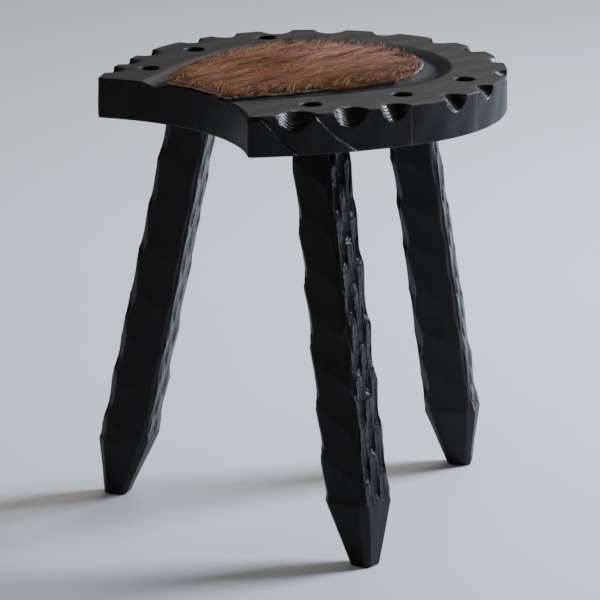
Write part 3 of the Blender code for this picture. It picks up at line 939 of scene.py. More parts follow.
def front_patch(strip, island_line):
    """Flat rows that run in from the front face, between the strip's two ends. One flat fill follows."""
    run_in = np.array([*EASED_ROWS, 4e-3])
    edge_line = np.concatenate([strip[-1, -1:], island_line, strip[0, -1:]])
    shift = np.stack([np.zeros(len(run_in)), run_in], axis=1)
    ends = np.linspace(0, 1, len(edge_line))[None, :, None]
    left_edge = edge_line[0] + shift
    right_edge = edge_line[-1] + shift
    patch = edge_line[None] + shift[:, None]
    to_left = (left_edge[:, None] - patch[:, :1]) * (1 - ends)
    to_right = (right_edge[:, None] - patch[:, -1:]) * ends
    return patch + to_left + to_right


def underside(ring, ring_out, bottom_edge):
    """Rings below the wall: an eased edge and a narrow flat ring."""
    under = [bottom_edge]
    towards = np.array((0, -0.01)) - ring
    towards = towards / np.linalg.norm(towards, axis=1)[:, None]
    for distance in UNDER_ROWS:
        turn = math.pi / 4 * (1 + min(1, distance / EDGE_ROUND))
        inset = EDGE_ROUND * (1 - math.cos(turn)) if distance < EDGE_ROUND else distance
        rise = EDGE_ROUND * (1 - math.sin(turn))
        blend = smooth_step(np.array([distance]), 0.0016, 0.006)[0]
        way = -ring_out * (1 - blend) + towards * blend
        flat = ring + way * inset
        under.append(np.concatenate([flat, np.full((len(ring), 1), SEAT_LOW + rise)], axis=1))
    return np.concatenate(under)


def make_seat(material):
    outer, strip, depth = seat_top_and_wall()
    columns, rows = strip.shape[:2]
    island_count = 60
    _, left_distances = front_end(True)
    _, right_distances = front_end(False)
    total = lengths(FRONT)[-1]
    island = np.linspace(left_distances[-1], total - right_distances[-1], island_count)[1:-1]
    island_line = at(FRONT, island)
    # the closed outline: round side, then the front from left to right
    ring = np.concatenate([outer, strip[-1, 1:], island_line, strip[0, :0:-1]])
    ring_depth = np.concatenate(
        [np.zeros(columns), depth[-1, 1:], np.zeros(len(island)), depth[0, :0:-1]]
    )
    nearest = np.array([np.linalg.norm(OUTLINE - p, axis=1).argmin() for p in ring])
    ring_out = OUTLINE_OUT[nearest]
    wall = wall_points(ring, ring_out, ring_depth)

    top = np.concatenate([strip, (SEAT_TOP - depth)[..., None]], axis=2).reshape(-1, 3)
    patch = front_patch(strip, island_line)
    patch_points = np.concatenate([patch, np.full((*patch.shape[:2], 1), SEAT_TOP)], axis=2).reshape(-1, 3)

    both = np.concatenate([top, patch_points])
    near_edge = round_top_edge(both)
    planed = np.sin(both[:, 0] * 190 + 2 * np.sin(both[:, 1] * 17))
    both[:, 2] += 0.00022 * planed * smooth_step(near_edge, 0.0, 0.01)
    top, patch_points = both[: len(top)], both[len(top) :]
    wall_flat = wall.reshape(-1, 3)
    row_of_wall = np.repeat(np.arange(len(WALL_ROWS)), len(ring))
    # where the wall's first row meets the top, both say the same place
    wall_flat[: len(ring)] = np.concatenate(
        [
            top.reshape(columns, rows, 3)[:, 0],
            top.reshape(columns, rows, 3)[-1, 1:],
            patch_points.reshape(*patch.shape[:2], 3)[0, 1:-1],
            top.reshape(columns, rows, 3)[0, :0:-1],
        ]
    )
    below = WALL_ROWS[row_of_wall]
    radius = np.linalg.norm(wall_flat[:, :2], axis=1)
    lift, ridge_line = ridge_lift(turn_of(wall_flat), below, radius)
    outwards = ring_out[np.tile(np.arange(len(ring)), len(WALL_ROWS))]
    inner_rows = smooth_step(below, 0.0, 0.002)
    wavy = 0.00025 * np.sin(turn_of(wall_flat) * 0.55 + below * 90)
    move = lift + wavy * inner_rows
    wall_flat[:, :2] += outwards * move[:, None]

    under = underside(ring, ring_out, wall_flat[-len(ring) :])
    points = [top, patch_points, wall_flat, under]
    starts = np.cumsum([0] + [len(block) for block in points])
    faces = quads(starts[0], columns, rows, False)
    faces += quads(starts[1], *patch.shape[:2], False)
    faces += quads(starts[2], len(WALL_ROWS), len(ring), True)
    faces += quads(starts[3], len(UNDER_ROWS) + 1, len(ring), True)
    last_under = starts[3] + len(UNDER_ROWS) * len(ring)
    faces.append(list(range(last_under, last_under + len(ring))))
    inner_edge = [starts[0] + i * rows + rows - 1 for i in range(columns)]
    patch_rows, patch_columns = patch.shape[:2]
    patch_last = starts[1] + (patch_rows - 1) * patch_columns
    # from the right end round to the left end, then back along the patch and its two sides
    row_starts = [starts[1] + r * patch_columns for r in range(1, patch_rows - 1)]
    row_ends = [start + patch_columns - 1 for start in reversed(row_starts)]
    across = list(range(patch_last, patch_last + patch_columns))
    faces.append(inner_edge + row_starts + across + row_ends)

    points = np.concatenate(points)
    edge_near, _ = edge_distance(points[:, :2])
    below_top = SEAT_TOP - points[:, 2]
    wear = np.exp(-((np.maximum(edge_near, 0) + np.maximum(below_top, 0)) / 0.0028) ** 2)
    low_edge = np.exp(-((np.maximum(edge_near, 0) + np.abs(points[:, 2] - SEAT_LOW)) / 0.002) ** 2)
    wear = np.maximum(wear, 0.35 * low_edge)
    on_wall = slice(starts[2], starts[2] + len(ridge_line))
    wear[on_wall] = np.maximum(wear[on_wall], 0.2 * ridge_line)
    # how deep the groove lies: it paints shade into the groove's colour and makes the groove rougher
    sunk_painted_shade = np.zeros(len(points))
    sunk_painted_shade[: len(top)] = smooth_step(depth.ravel(), 0.0010, 0.0065)
    cut, rim = carve(points)
    cut[on_wall] = np.maximum(cut[on_wall], 0.4 * ridge_line)
    wear = np.maximum(wear, 0.45 * rim)

    seat = new_piece("seat_carved", lay(points), faces, material)
    weld(seat)
    holes = seat_openings(material)
    cut_with(seat, holes)
    carry(seat, lay(points), {"wear": wear, "cut": cut, "sunk_painted_shade": sunk_painted_shade})
    seat.data.shade_smooth()
    seat.data.set_sharp_from_angle(angle=math.radians(38))
    return seat


def seat_openings(material):
    """One cutter: six drilled holes with eased mouths, three mortises and the tacks' holes."""
    profiles = []
    for turn, radius in HOLES:
        angle = math.pi / 2 + math.radians(turn)
        place = np.array((radius * math.cos(angle), radius * math.sin(angle), SEAT_LOW))
        depth = SEAT_TOP - SEAT_LOW
        steps = [(-0.006, HOLE_RADIUS + 0.0012), (0.0, HOLE_RADIUS + 0.0012), (0.0012, HOLE_RADIUS)]
        for i in range(1, 8):
            turn_in = math.pi / 2 * i / 8
            eased = HOLE_FLARE * (1 - math.cos(turn_in))
            steps.append((depth - HOLE_FLARE * (1 - math.sin(turn_in)), HOLE_RADIUS + eased))
        steps.append((depth + 0.0001, HOLE_RADIUS + HOLE_FLARE * 0.99))
        steps.append((depth + 0.004, HOLE_RADIUS + HOLE_FLARE))
        profiles.append((lay(place), (0, 0, 1), steps))
    for name in LEGS:
        start, way = tenon_axis(name)
        wide = TENON_RADIUS + MORTISE_CLEAR
        deep = TENON_LENGTH + MORTISE_CLEAR + GAP
        profiles.append((start, way, [(-wide, wide), (deep, wide)]))
    for name in TACKS:
        low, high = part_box(name)
        middle = (low + high) / 2
        drilled = [(0, TACK_HOLE), (0.02, TACK_HOLE)]
        profiles.append(((middle.x, middle.y, low.z - GAP), (0, 0, 1), drilled))
    return turned("openings", profiles, 32, material)


def carry(piece, old_points, values):
    """Gives the piece's vertices the values of the nearest old points."""
    tree = kdtree.KDTree(len(old_points))
    for i, point in enumerate(old_points):
        tree.insert(point, i)
    tree.balance()
    nearest = [tree.find(v.co)[1] for v in piece.data.vertices]
    for name, numbers in values.items():
        store(piece.data, name, numbers[nearest])


# ================================================================== the hewn legs
def tenon_axis(name):
    """Where the leg's middle meets the slab's underside, and its way up, in the frame's axes."""
    top, foot, _ = LEGS[name]
    start = Vector((top.x, top.y, SEAT_LOW))
    way = (start - Vector((foot.x, foot.y, 0))).normalized()
    return start + Vector((MIDDLE.x, MIDDLE.y, 0)), way


def scoop_chamfer(down, across, scoops):
    """A corner's chamfer: each scoop deepens downwards and ends in a curved ridge."""
    first, pitch = scoops
    wobble = 0.06 * np.sin(down * 37 + first * 400)
    share = ((down + 0.009 * across**2 - first) / pitch + wobble) % 1.0
    rising = np.sin(math.pi / 2 * np.clip(share / SCOOP_RISE, 0, 1)) ** 1.25
    falling = np.clip((1 - share) / (1 - SCOOP_RISE), 0, 1)
    return SCOOP_SHALLOW + (SCOOP_DEEP - SCOOP_SHALLOW) * np.where(share < SCOOP_RISE, rising, falling)


def leg_radius(angle, z, name):
    """The leg's skin at an angle from its first face and a height.

    Returns the distance from the leg's middle line, how strongly a blade has polished the place,
    and how far it lies on the gouged face.
    """
    high = SEAT_LOW - GAP
    down = high - z
    share = np.clip((high - z) / (high - FOOT_HEIGHT), 0, 1)
    half = LEG_HALF_TOP + (LEG_HALF_LOW - LEG_HALF_TOP) * share
    in_foot = np.clip(z / FOOT_HEIGHT, 0, 1)
    half = np.where(z < FOOT_HEIGHT, FOOT_HALF + (LEG_HALF_LOW - FOOT_HALF) * in_foot, half)
    seed = sum(map(ord, name))
    radius = np.full(np.shape(angle), FAR)
    marks = np.zeros(np.shape(angle))
    shaft = smooth_step(z, FOOT_HEIGHT - 0.001, FOOT_HEIGHT + 0.008)
    for side in range(4):
        turn = (angle - math.pi / 2 * side + math.pi) % (2 * math.pi) - math.pi
        ahead = np.abs(turn) < 1.2
        tau = half * np.tan(np.where(ahead, turn, 0))
        # long flat adze strokes, each a shallow hollow that runs slantwise over the face
        slant = (down + 0.55 * tau * (1 if side % 2 else -1)) / STROKE_PITCH + 0.31 * side + seed * 0.17
        stroke = np.abs(np.sin(math.pi * slant)) ** 0.7
        hollow = STROKE_DEEP * stroke * (1 - 0.5 * np.cos(tau * 130 + side + seed))
        if side == 1:
            hollow = gouge_strokes(down, tau, seed) * (0.4 + 0.6 * GOUGED[name])
            gouged = np.where(np.abs(turn) < math.pi / 4, shaft, 0)
            gouged = gouged * smooth_step(math.pi / 4 - np.abs(turn), 0.0, 0.10)
        flat = half - hollow * shaft - 0.0003 * np.sin(z * 95 + side * 2 + seed)
        face = np.where(ahead, flat / np.cos(np.where(ahead, turn, 0)), FAR)
        radius = soft_min(radius, face, 0.0005)
    for corner in range(4):
        turn = (angle - math.pi / 4 - math.pi / 2 * corner + math.pi) % (2 * math.pi) - math.pi
        ahead = np.abs(turn) < 1.0
        safe = np.where(ahead, turn, 0)
        reach = SCOOP_DEEP / math.sqrt(2)
        plane = half * math.sqrt(2)
        across = np.clip(plane * np.tan(safe) / reach, -1.6, 1.6)
        chamfer = scoop_chamfer(down, across, SCOOPS[name][corner])
        if corner == 0:
            chamfer = 0.002 + (chamfer - 0.002) * FRONT_CORNER
        foot_chamfer = FOOT_CHAMFER + 0.004 * in_foot
        chamfer = foot_chamfer + (chamfer - foot_chamfer) * shaft
        flat = (2 * half - chamfer) / math.sqrt(2)
        hollow = 0.0006 * np.clip(1 - (across * reach / (chamfer * 0.75)) ** 2, 0, 1)
        rake = 0.0002 * np.sin(across * 9 + 3 * np.sin(down * 21 + corner + seed) + corner)
        rake = rake * smooth_step(soft_texture(angle, z, seed + corner), -0.1, 0.5)
        face = np.where(ahead, (flat - (hollow + rake) * shaft) / np.cos(safe), FAR)
        marks = np.where(face < radius, np.maximum(marks, shaft * 0.35), marks)
        radius = soft_min(radius, face, 0.0010)
    return radius, np.maximum(marks, gouged), gouged * GOUGED[name]


def gouge_strokes(down, tau, seed):
    """How deep gouge strokes lie: columns side by side, each stroke deeper downwards to its end."""
    column = np.floor(tau / GOUGE_WIDTH + 0.5 + 0.25 * np.sin(down * 23 + seed))
    beside = tau / GOUGE_WIDTH + 0.25 * np.sin(down * 23 + seed) - column
    start = 0.41 * column + 0.13 * np.sin(column * 7 + seed)
    share = (down / GOUGE_PITCH + start + 0.07 * np.sin(down * 60 + column) - 0.35 * beside**2) % 1.0
    rising = np.sin(math.pi / 2 * np.clip(share / GOUGE_RISE, 0, 1)) ** 1.5
    falling = np.clip((1 - share) / GOUGE_FALL, 0, 1)
    deep = np.where(share < GOUGE_RISE, rising, falling)
    return GOUGE_DEEP * deep * (1 - 3.2 * beside**2) + 0.0006


def soft_texture(angle, z, seed):
    """Slow made-up unevenness, from -1 to 1."""
    return np.sin(3 * angle + seed) * np.sin(z * 61 + seed * 1.7) * 0.5 + 0.5 * np.sin(
        z * 143 + 2 * np.sin(2 * angle + seed)
    )


def make_leg(name, material):
    top, foot, facing = LEGS[name]
    around, step = 190, 0.0013
    high = SEAT_LOW - GAP
    count = int(high / step)
    heights = np.concatenate([[0, 0.0006, 0.0013, 0.0022], np.linspace(0.0035, high - 0.0012, count), [high]])
    even = np.linspace(0, 2 * math.pi, around, endpoint=False)
    angles = even - 0.42 * np.sin(even - math.pi / 2)  # closer together on the gouged face
    grid_z = np.repeat(heights[:, None], around, axis=1)
    grid_angle = np.repeat(angles[None], len(heights), axis=0)
    radius, marks, gouged = leg_radius(grid_angle, grid_z, name)
    ease = np.sqrt(np.clip(1 - (1 - np.clip(heights / 0.0022, 0, 1)) ** 2, 0, 1))
    radius = radius - 0.0022 * (1 - ease)[:, None]
    world = grid_angle + math.radians(facing)
    lean = (heights / SEAT_LOW)[:, None]
    x = foot.x + (top.x - foot.x) * lean + radius * np.cos(world)
    y = foot.y + (top.y - foot.y) * lean + radius * np.sin(world)
    rings = np.stack([x, y, grid_z], axis=2)
    shaft = lay(rings.reshape(-1, 3))
    own = np.stack([radius * np.cos(grid_angle), radius * np.sin(grid_angle), grid_z], axis=2).reshape(-1, 3)

    # the shoulder closes in to the tenon, which ends in an eased disc
    start, way = tenon_axis(name)
    ring_top = shaft[-around:]
    middle = np.array((top.x + MIDDLE.x, top.y + MIDDLE.y, high))
    sideways = ring_top - middle
    sideways = sideways / np.linalg.norm(sideways, axis=1)[:, None]
    way_up = np.array(way)
    extra = []
    foot_ring = middle + sideways * TENON_RADIUS
    for share in (0.5, 1.0):
        extra.append(ring_top * (1 - share) + foot_ring * share)
    for along, shrink in ((0.004, 0), (TENON_LENGTH - 0.001, 0), (TENON_LENGTH, 0.0006)):
        square = sideways - (sideways @ way_up)[:, None] * way_up
        square = square / np.linalg.norm(square, axis=1)[:, None]
        extra.append(np.array(start) + way_up * along + square * (TENON_RADIUS - shrink))
    extra = np.concatenate(extra)
    points = np.concatenate([shaft, extra])
    leg = new_piece(f"{name}_hewn", points, tube(0, len(points) // around, around), material)
    weld(leg, 1e-6)
    cut_with(leg, kerf_cutter(name, material))
    grain = np.concatenate([own, np.tile(own[-around:], (len(extra) // around, 1)) + (0, 0, 0.01)])
    marked = {"wear": leg_wear(radius) * 0.6, "cut": marks, "gouged": gouged}
    unmarked = np.zeros(len(extra))
    values = {key: np.concatenate([mark.ravel(), unmarked]) for key, mark in marked.items()}
    carry(leg, points, {**values, "grain": grain})
    leg.data.shade_smooth()
    leg.data.set_sharp_from_angle(angle=math.radians(42))
    return leg


def leg_wear(radius):
    """1 on ridges that stand out from what is round them, 0 in hollows."""
    smooth = radius.copy()
    for _ in range(6):
        smooth = (smooth + np.roll(smooth, 1, 1) + np.roll(smooth, -1, 1)) / 3
        smooth[1:-1] = (smooth[1:-1] + smooth[:-2] + smooth[2:]) / 3
    return smooth_step(radius - smooth, 0.00025, 0.0009)


def kerf_cutter(name, material):
    start, way = tenon_axis(name)
    across = Vector((0, 0, 1)).cross(way).normalized()
    beside = way.cross(across)
    end = start + way * TENON_LENGTH
    points = []
    for up in (-KERF_DEPTH, 0.005):
        for i, j in ((-1, -1), (1, -1), (1, 1), (-1, 1)):
            points.append(end + way * up + across * (i * KERF_WIDTH / 2) + beside * (j * 0.021))
    cutter = new_piece("kerf", points, tube(0, 2, 4), material)
    weld(cutter)
    return cutter


# ================================================================== the hide
def hide_outline(count):
    """The hide's closed outline, anticlockwise from the front right, at even distances."""
    side = HIDE_SIDE[HIDE_SIDE[:, 1] > front_y(HIDE_SIDE[:, 0], FRONT) + HIDE_FRONT_INSET]
    across = np.linspace(side[-1, 0], side[0, 0], 300)[1:-1]
    front = np.stack([across, front_y(across, FRONT) + HIDE_FRONT_INSET], axis=1)
    closed = np.concatenate([side, front, side[:1]])
    return at(closed, np.linspace(0, lengths(closed)[-1], count, endpoint=False))


def edge_of_hide(points, outline):
    """How far flat points are from the hide's outline."""
    best = np.empty(len(points))
    for start in range(0, len(points), MEASURED_AT_ONCE):
        part = slice(start, start + MEASURED_AT_ONCE)
        best[part] = np.linalg.norm(points[part][:, None] - outline[None], axis=2).min(axis=1)
    return best


def tack_spots():
    """The tacks' flat places, local."""
    middles = [(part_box(name)[0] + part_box(name)[1]) / 2 for name in TACKS]
    return np.array([(m.x - MIDDLE.x, m.y - MIDDLE.y) for m in middles])


def make_skin(material):
    """The hide's skin: one thin closed sheet whose edge waves a little where it was cut."""
    around = 560
    outline = hide_outline(around)
    out = right_of(np.concatenate([outline[-1:], outline, outline[:1]]))[1:-1]
    way = np.linspace(0, 2 * math.pi, around, endpoint=False)
    ragged = 0.00022 * np.sin(41 * way) + 0.00020 * np.sin(97 * way + 1) + 0.00018 * np.sin(173 * way)
    outline = outline + out * (ragged - 0.0004)[:, None]
    middle = np.array((0.0, -0.03))
    shares = np.array([0, 0.004, 0.012, 0.03, 0.06, 0.10, 0.15, 0.21, 0.28, 0.36, 0.45])
    shares = np.concatenate([shares, [0.55, 0.66, 0.78, 0.90]])
    tacks = tack_spots()
    curl = 0.0007 * np.clip(np.sin(23 * way + 0.6), 0, 1) + 0.0003 * (1 + np.sin(9 * way))
    low = SEAT_TOP + GAP
    top_rows, low_rows = [], []
    for share in shares:
        flat = outline + (middle - outline) * share
        lifted = curl * np.exp(-share / 0.03)
        near_tack = np.linalg.norm(flat[:, None] - tacks[None], axis=2).min(axis=1)
        lifted = lifted * smooth_step(near_tack, 0.003, 0.010)
        thick = SKIN_THICK - 0.0003 * math.exp(-share / 0.004)
        top_rows.append(np.concatenate([flat, (low + thick + lifted)[:, None]], axis=1))
        low_rows.append(np.concatenate([flat, (low + lifted)[:, None]], axis=1))
    rings = low_rows[::-1] + top_rows
    points = np.concatenate(rings)
    rows = len(rings)
    skin = new_piece("hide_skin", lay(points), tube(0, rows, around), material)
    cut_face = np.zeros((rows, around))
    cut_face[len(shares) - 1 : len(shares) + 1] = 1
    store(skin.data, "cut", cut_face.ravel())
    eyes = [
        ((x + MIDDLE.x, y + MIDDLE.y, SEAT_TOP - 0.004), (0, 0, 1), [(0, SKIN_EYE), (0.016, SKIN_EYE)])
        for x, y in tacks
    ]
    cut_with(skin, turned("eyes", eyes, 12, material))
    skin.data.shade_smooth()
    skin.data.set_sharp_from_angle(angle=math.radians(50))
    return skin


def growth_bed(outline):
    """The bed that hair grows from: a flat mesh over the skin, and its local flat places."""
    spacing = 0.0025
    x = np.arange(-HIDE_RADIUS, HIDE_RADIUS + spacing, spacing)
    y = np.arange(CORNER_RIGHT[1] + 0.02, HIDE_CENTRE_Y + HIDE_RADIUS + spacing, spacing)
    flat = np.stack(np.meshgrid(x, y), axis=2).reshape(-1, 2)
    inside = np.abs(flat[:, 0]) < hide_half_width(flat[:, 1])
    inside &= flat[:, 1] > front_y(flat[:, 0], FRONT) + HIDE_FRONT_INSET
    inside &= edge_of_hide(flat, outline) > 0.0006
    height = np.full(len(flat), SEAT_TOP + GAP + SKIN_THICK)
    points = lay(np.concatenate([flat, height[:, None]], axis=1))
    faces = [f for f in quads(0, len(y), len(x), False) if all(inside[i] for i in f)]
    return new_piece("growth_bed", points, faces, None), flat


def comb(bed, flat, outline):
    """Stores how hair lies, how far it reaches, how high it rises and how thick it grows.

    Hair lies towards the hollow front. Each tack parts it, so that it fans out round the head.
    Returns where tufts grow: in a ring round each tack.
    """
    edge = edge_of_hide(flat, outline)
    outwards = flat - np.array((0.0, -0.02))
    outwards /= np.linalg.norm(outwards, axis=1)[:, None] + 1e-9
    long_swirl = np.sin(flat[:, 1] * 38 + 1.3 * np.sin(flat[:, 0] * 60))
    swirl = 0.17 * long_swirl + 0.08 * np.sin(flat[:, 0] * 85)
    lie = np.stack([swirl, -np.ones(len(flat)), np.zeros(len(flat))], axis=1)
    lie[:, :2] -= outwards * (0.16 * np.exp(-edge / 0.010))[:, None]
    apart = flat[:, None] - tack_spots()[None]
    away = np.linalg.norm(apart, axis=2)
    close = away.min(axis=1)
    fan = apart[np.arange(len(flat)), away.argmin(axis=1)] / (close[:, None] + 1e-9)
    lie[:, :2] += fan * (1.1 * np.exp(-((close / 0.0085) ** 2)))[:, None]
    lie[:, :2] /= np.linalg.norm(lie[:, :2], axis=1)[:, None]

    # shorter where the front is near, and held inside the edge on the side of the right leg
    front_edge = front_y(flat[:, 0], FRONT) + HIDE_FRONT_INSET
    reach = np.clip((flat[:, 1] - front_edge + 0.003) / 0.034, 0.20, 1.0)
    reach = reach * (0.55 + 0.45 * smooth_step(close, 0.002, 0.012))
    outward = np.maximum((lie[:, :2] * outwards).sum(axis=1), 0.02)
    held_in = np.clip((edge + 0.0004) / (outward * LONGEST_HAIR), 0.12, 1.0)
    right_side = smooth_step(flat[:, 0] - 0.6 * flat[:, 1], -0.01, 0.04)
    reach = np.minimum(reach, held_in + (1 - right_side) * 0.5)

    bushy = smooth_step(edge, -0.012, 0.012) * (1 - right_side) * 1.25
    rise = np.maximum(smooth_step(edge, 0.0, 0.020), bushy)
    store(bed.data, "lie", lie)
    store(bed.data, "reach", reach)
    store(bed.data, "rise", rise * (0.35 + 0.65 * smooth_step(close, 0.002, 0.014)))
    store(bed.data, "cover", 0.30 + 0.70 * smooth_step(close, 0.0015, 0.007))
    return 4.0 * np.exp(-(((close - 0.0055) / 0.0035) ** 2))


def make_strand():
    """One hair, a unit long, with three sides that narrow to a point. It arches up and comes down."""
    rings = (0.0, 0.30, 0.66)
    points, shares = [], []
    for t in rings:
        arch = 0.10 * math.sin(math.pi * min(1, t * 1.1) ** 0.8)
        radius = 0.0050 * (1 - 0.55 * t)
        for i in range(3):
            angle = math.pi / 2 + 2 * math.pi * i / 3
            points.append((t, 1.5 * radius * math.cos(angle), arch + radius * math.sin(angle)))
            shares.append(t)
    points.append((1.0, 0.0, 0.012))
    shares.append(1.0)
    faces = quads(0, len(rings), 3, True)
    faces += [[6, 7, 9], [7, 8, 9], [8, 6, 9], [2, 1, 0]]
    mesh = bpy.data.meshes.new("strand")
    mesh.from_pydata(points, [], faces)
    store(mesh, "along", shares)
    return bpy.data.objects.new("strand", mesh)


def hair_tree():
    """Hair on a bed: strands along each place's lie, drawn together in locks and bent by slow noise."""
    group = bpy.data.node_groups.new("hair", "GeometryNodeTree")
    face = group.interface
    face.new_socket("Geometry", in_out="OUTPUT", socket_type="NodeSocketGeometry")
    face.new_socket("Geometry", in_out="INPUT", socket_type="NodeSocketGeometry")
    inputs = (
        ("Strand", "NodeSocketObject"),
        ("Density", "NodeSocketFloat"),
        ("Seed", "NodeSocketInt"),
        ("Length", "NodeSocketFloat"),
        ("Height", "NodeSocketFloat"),
        ("Lock Size", "NodeSocketFloat"),
        ("Lock Pull", "NodeSocketFloat"),
        ("Scatter", "NodeSocketFloat"),
        ("Light", "NodeSocketFloat"),
        ("Material", "NodeSocketMaterial"),
    )
    for name, kind in inputs:
        face.new_socket(name, in_out="INPUT", socket_type=kind)
    tree = Tree(group)
    source = group.nodes.new("NodeGroupInput")
    given = {socket.name: Value(tree, socket) for socket in source.outputs}

    def named(name, kind="FLOAT"):
        return tree.node("GeometryNodeInputNamedAttribute", {"data_type": kind}, {"Name": name})

    def random(low, high, seed):
        values = {"Min": low, "Max": high, "Seed": seed}
        return tree.node("FunctionNodeRandomValue", {"data_type": "FLOAT"}, values)

    def stored(geometry, name, value, kind="FLOAT"):
        values = {"Geometry": geometry, "Name": name, "Value": value}
        return tree.node("GeometryNodeStoreNamedAttribute", {"data_type": kind, "domain": "POINT"}, values)

    cover = given["Density"] * named("cover")
    values = {"Mesh": given["Geometry"], "Density": cover, "Seed": given["Seed"]}
    dots = tree.node("GeometryNodeDistributePointsOnFaces", {"distribute_method": "RANDOM"}, values)
    place = tree.node("GeometryNodeInputPosition")
    dots = stored(dots, "root", place, "FLOAT_VECTOR")
    streaks = tree.cloud(place, 1.0, 2.0, 0.5, (95.0, 13.0, 0.0)).between(0.33, 0.67)
    dots = stored(dots, "tone", random(0.0, 1.0, given["Seed"] + 11) * 0.4 + streaks * 0.6)
    chance = random(0.0, 1.0, given["Seed"] + 23)
    lightness = given["Light"] * chance.between(0.6 - given["Light"] * 0.85, 1.0)
    dots = stored(dots, "light", lightness)
    lie = named("lie", "FLOAT_VECTOR")
    sideways = tree.node(
        "ShaderNodeCombineXYZ",
        None,
        {
            "X": random(-1.0, 1.0, given["Seed"] + 5) * given["Scatter"],
            "Y": random(-1.0, 1.0, given["Seed"] + 6) * given["Scatter"],
            "Z": random(-0.06, 0.10, given["Seed"] + 7),
        },
    )
    aim = tree.vector("ADD", lie, sideways)
    turned_to = tree.node("FunctionNodeAlignRotationToVector", {"axis": "X"}, {"Vector": aim})
    length = given["Length"] * named("reach") * random(0.65, 1.15, given["Seed"] + 3)
    height = given["Height"] * (named("rise") * 0.8 + 0.2) * random(0.5, 1.3, given["Seed"] + 4)
    scale = tree.node("ShaderNodeCombineXYZ", None, {"X": length, "Y": given["Length"], "Z": height})
    strand = tree.node("GeometryNodeObjectInfo", None, {"Object": given["Strand"]}, "Geometry")
    values = {"Points": dots, "Instance": strand, "Rotation": turned_to, "Scale": scale}
    hairs = tree.node("GeometryNodeInstanceOnPoints", None, values)
    hairs = tree.node("GeometryNodeRealizeInstances", None, {"Geometry": hairs})
    along = named("along")
    root = named("root", "FLOAT_VECTOR")
    cells = tree.vector("MULTIPLY", root, (1.0, 0.28, 0.0))
    values = {"Vector": cells, "Scale": given["Lock Size"]}
    lock = tree.node("ShaderNodeTexVoronoi", {"voronoi_dimensions": "3D"}, values, "Position")
    gap = tree.vector("MULTIPLY", tree.vector("SUBTRACT", lock, cells), (1.0, 0.0, 0.0))
    pull = along * along * given["Lock Pull"]
    towards = tree.node("ShaderNodeVectorMath", {"operation": "SCALE"}, {0: gap, "Scale": pull})
    values = {"Vector": root, "Scale": 70.0, "Detail": 2.0}
    wave = tree.node("ShaderNodeTexNoise", None, values, "Color")
    wave = tree.vector("SUBTRACT", wave, (0.5, 0.5, 0.45))
    wave = tree.vector("MULTIPLY", wave, (0.014, 0.004, 0.004))
    bend = tree.node("ShaderNodeVectorMath", {"operation": "SCALE"}, {0: wave, "Scale": along * along})
    offset = tree.vector("ADD", towards, bend)
    hairs = tree.node("GeometryNodeSetPosition", None, {"Geometry": hairs, "Offset": offset})
    hairs = tree.node("GeometryNodeSetMaterial", None, {"Geometry": hairs, "Material": given["Material"]})
    end = group.nodes.new("NodeGroupOutput")
    tree.join(end.inputs[0], hairs)
    return group


def grow(name, bed, tree, values):
    """A plain mesh of the hair that the tree grows on a copy of the bed."""
    piece = bpy.data.objects.new(name, bed.data.copy())
    bpy.context.scene.collection.objects.link(piece)
    step = piece.modifiers.new("grow", "NODES")
    step.node_group = tree
    sockets = {s.name: s.identifier for s in tree.interface.items_tree if s.in_out == "INPUT"}
    for label, value in values.items():
        step[sockets[label]] = value
    settle(piece)
    return piece


def make_hair(material):
    outline = hide_outline(900)
    bed, flat = growth_bed(outline)
    tufted = comb(bed, flat, outline)
    strand = make_strand()
    tree = hair_tree()
    area = sum(face.area for face in bed.data.polygons)
    layers = []
    for number, (name, share, *shape) in enumerate(HAIR_LAYERS):
        if name == "hide_tufts":
            store(bed.data, "cover", tufted)
            store(bed.data, "reach", np.full(len(flat), 0.7))
            store(bed.data, "rise", np.full(len(flat), 0.9))
        if name == "hide_strays":
            store(bed.data, "cover", np.ones(len(flat)))
        values = dict(zip(("Length", "Height", "Lock Size", "Lock Pull", "Scatter", "Light"), shape))
        values["Strand"] = strand
        values["Density"] = STRANDS_EACH * share / area * 1.1
        values["Seed"] = number * 17 + 3
        values["Material"] = material
        layers.append(grow(name, bed, tree, values))
    bpy.data.objects.remove(bed, do_unlink=True)
    bpy.data.objects.remove(strand, do_unlink=True)
    return layers


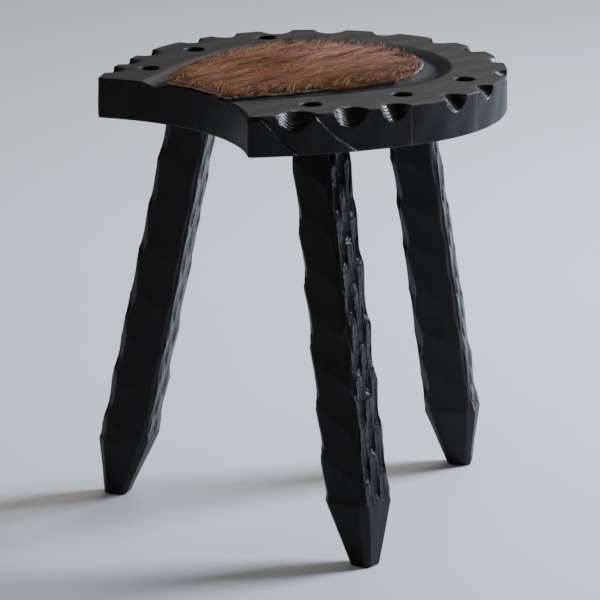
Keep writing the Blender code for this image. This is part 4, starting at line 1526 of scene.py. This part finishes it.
# ================================================================== stage
def area_light(name, place, size, power, colour, target=(0, 0, 0.3)):
    light = bpy.data.lights.new(name, "AREA")
    light.shape = "RECTANGLE"
    light.size, light.size_y = size
    light.energy = power
    light.color = colour
    lamp = bpy.data.objects.new(name, light)
    lamp.location = place
    lamp.rotation_euler = (Vector(target) - Vector(place)).to_track_quat("-Z", "Y").to_euler()
    bpy.context.scene.collection.objects.link(lamp)


def make_stage():
    half = 9.0
    corners = [(-half, -half, 0), (half, -half, 0), (half, half, 0), (-half, half, 0)]
    floor = new_piece("floor", corners, [[0, 1, 2, 3]], finish("pale_floor", pale_floor))
    world = bpy.data.worlds.new("studio")
    bpy.context.scene.world = world
    world.use_nodes = True
    backdrop = world.node_tree.nodes["Background"]
    backdrop.inputs["Color"].default_value = (0.90, 0.92, 0.96, 1)
    backdrop.inputs["Strength"].default_value = 0.14
    area_light("window", (1.05, 2.28, 1.75), (1.1, 1.1), 195, (0.70, 0.80, 1.0))
    area_light("overhead", (-0.9, 1.9, 2.5), (2.0, 2.0), 33, (1.0, 0.97, 0.92))
    area_light("front_fill", (0.6, -3.4, 2.4), (2.0, 2.0), 11, (1.0, 0.97, 0.94))


def make_camera():
    camera = bpy.data.objects.new("camera", bpy.data.cameras.new("camera"))
    camera.location = (3.3364, -3.3449, 1.4703)
    camera.rotation_euler = (math.radians(75.07), 0, math.radians(45.24))
    camera.data.lens = 294.2
    camera.data.sensor_width = 36
    camera.data.clip_end = 60
    bpy.context.scene.collection.objects.link(camera)
    bpy.context.scene.camera = camera


# ================================================================== the stool
def make_stool():
    seat = make_seat(finish("seat_wood", seat_wood))
    ride_as(seat, "blackened_wood", "seat_slab")
    hewn = finish("leg_wood", leg_wood)
    for name in LEGS:
        ride_as(make_leg(name, hewn), "blackened_wood", name)
    skin = make_skin(finish("hide_skin", hide_skin))
    ride_as(skin, "brown_hide", "hide_panel")
    hair = make_hair(finish("hair_coat", hair_coat))
    for layer in hair:
        ride_as(layer, "brown_hide")
    steel, pale = finish("blued_steel", blued_steel), finish("wedge_wood", wedge_wood)
    for name, node in frame["nodes"].items():
        if name.startswith("hide_tack") or name.startswith("tenon_wedge"):
            material = steel if name.startswith("hide_tack") else pale
            node.data.materials.clear()
            node.data.materials.append(material)


make_stage()
make_camera()
make_stool()
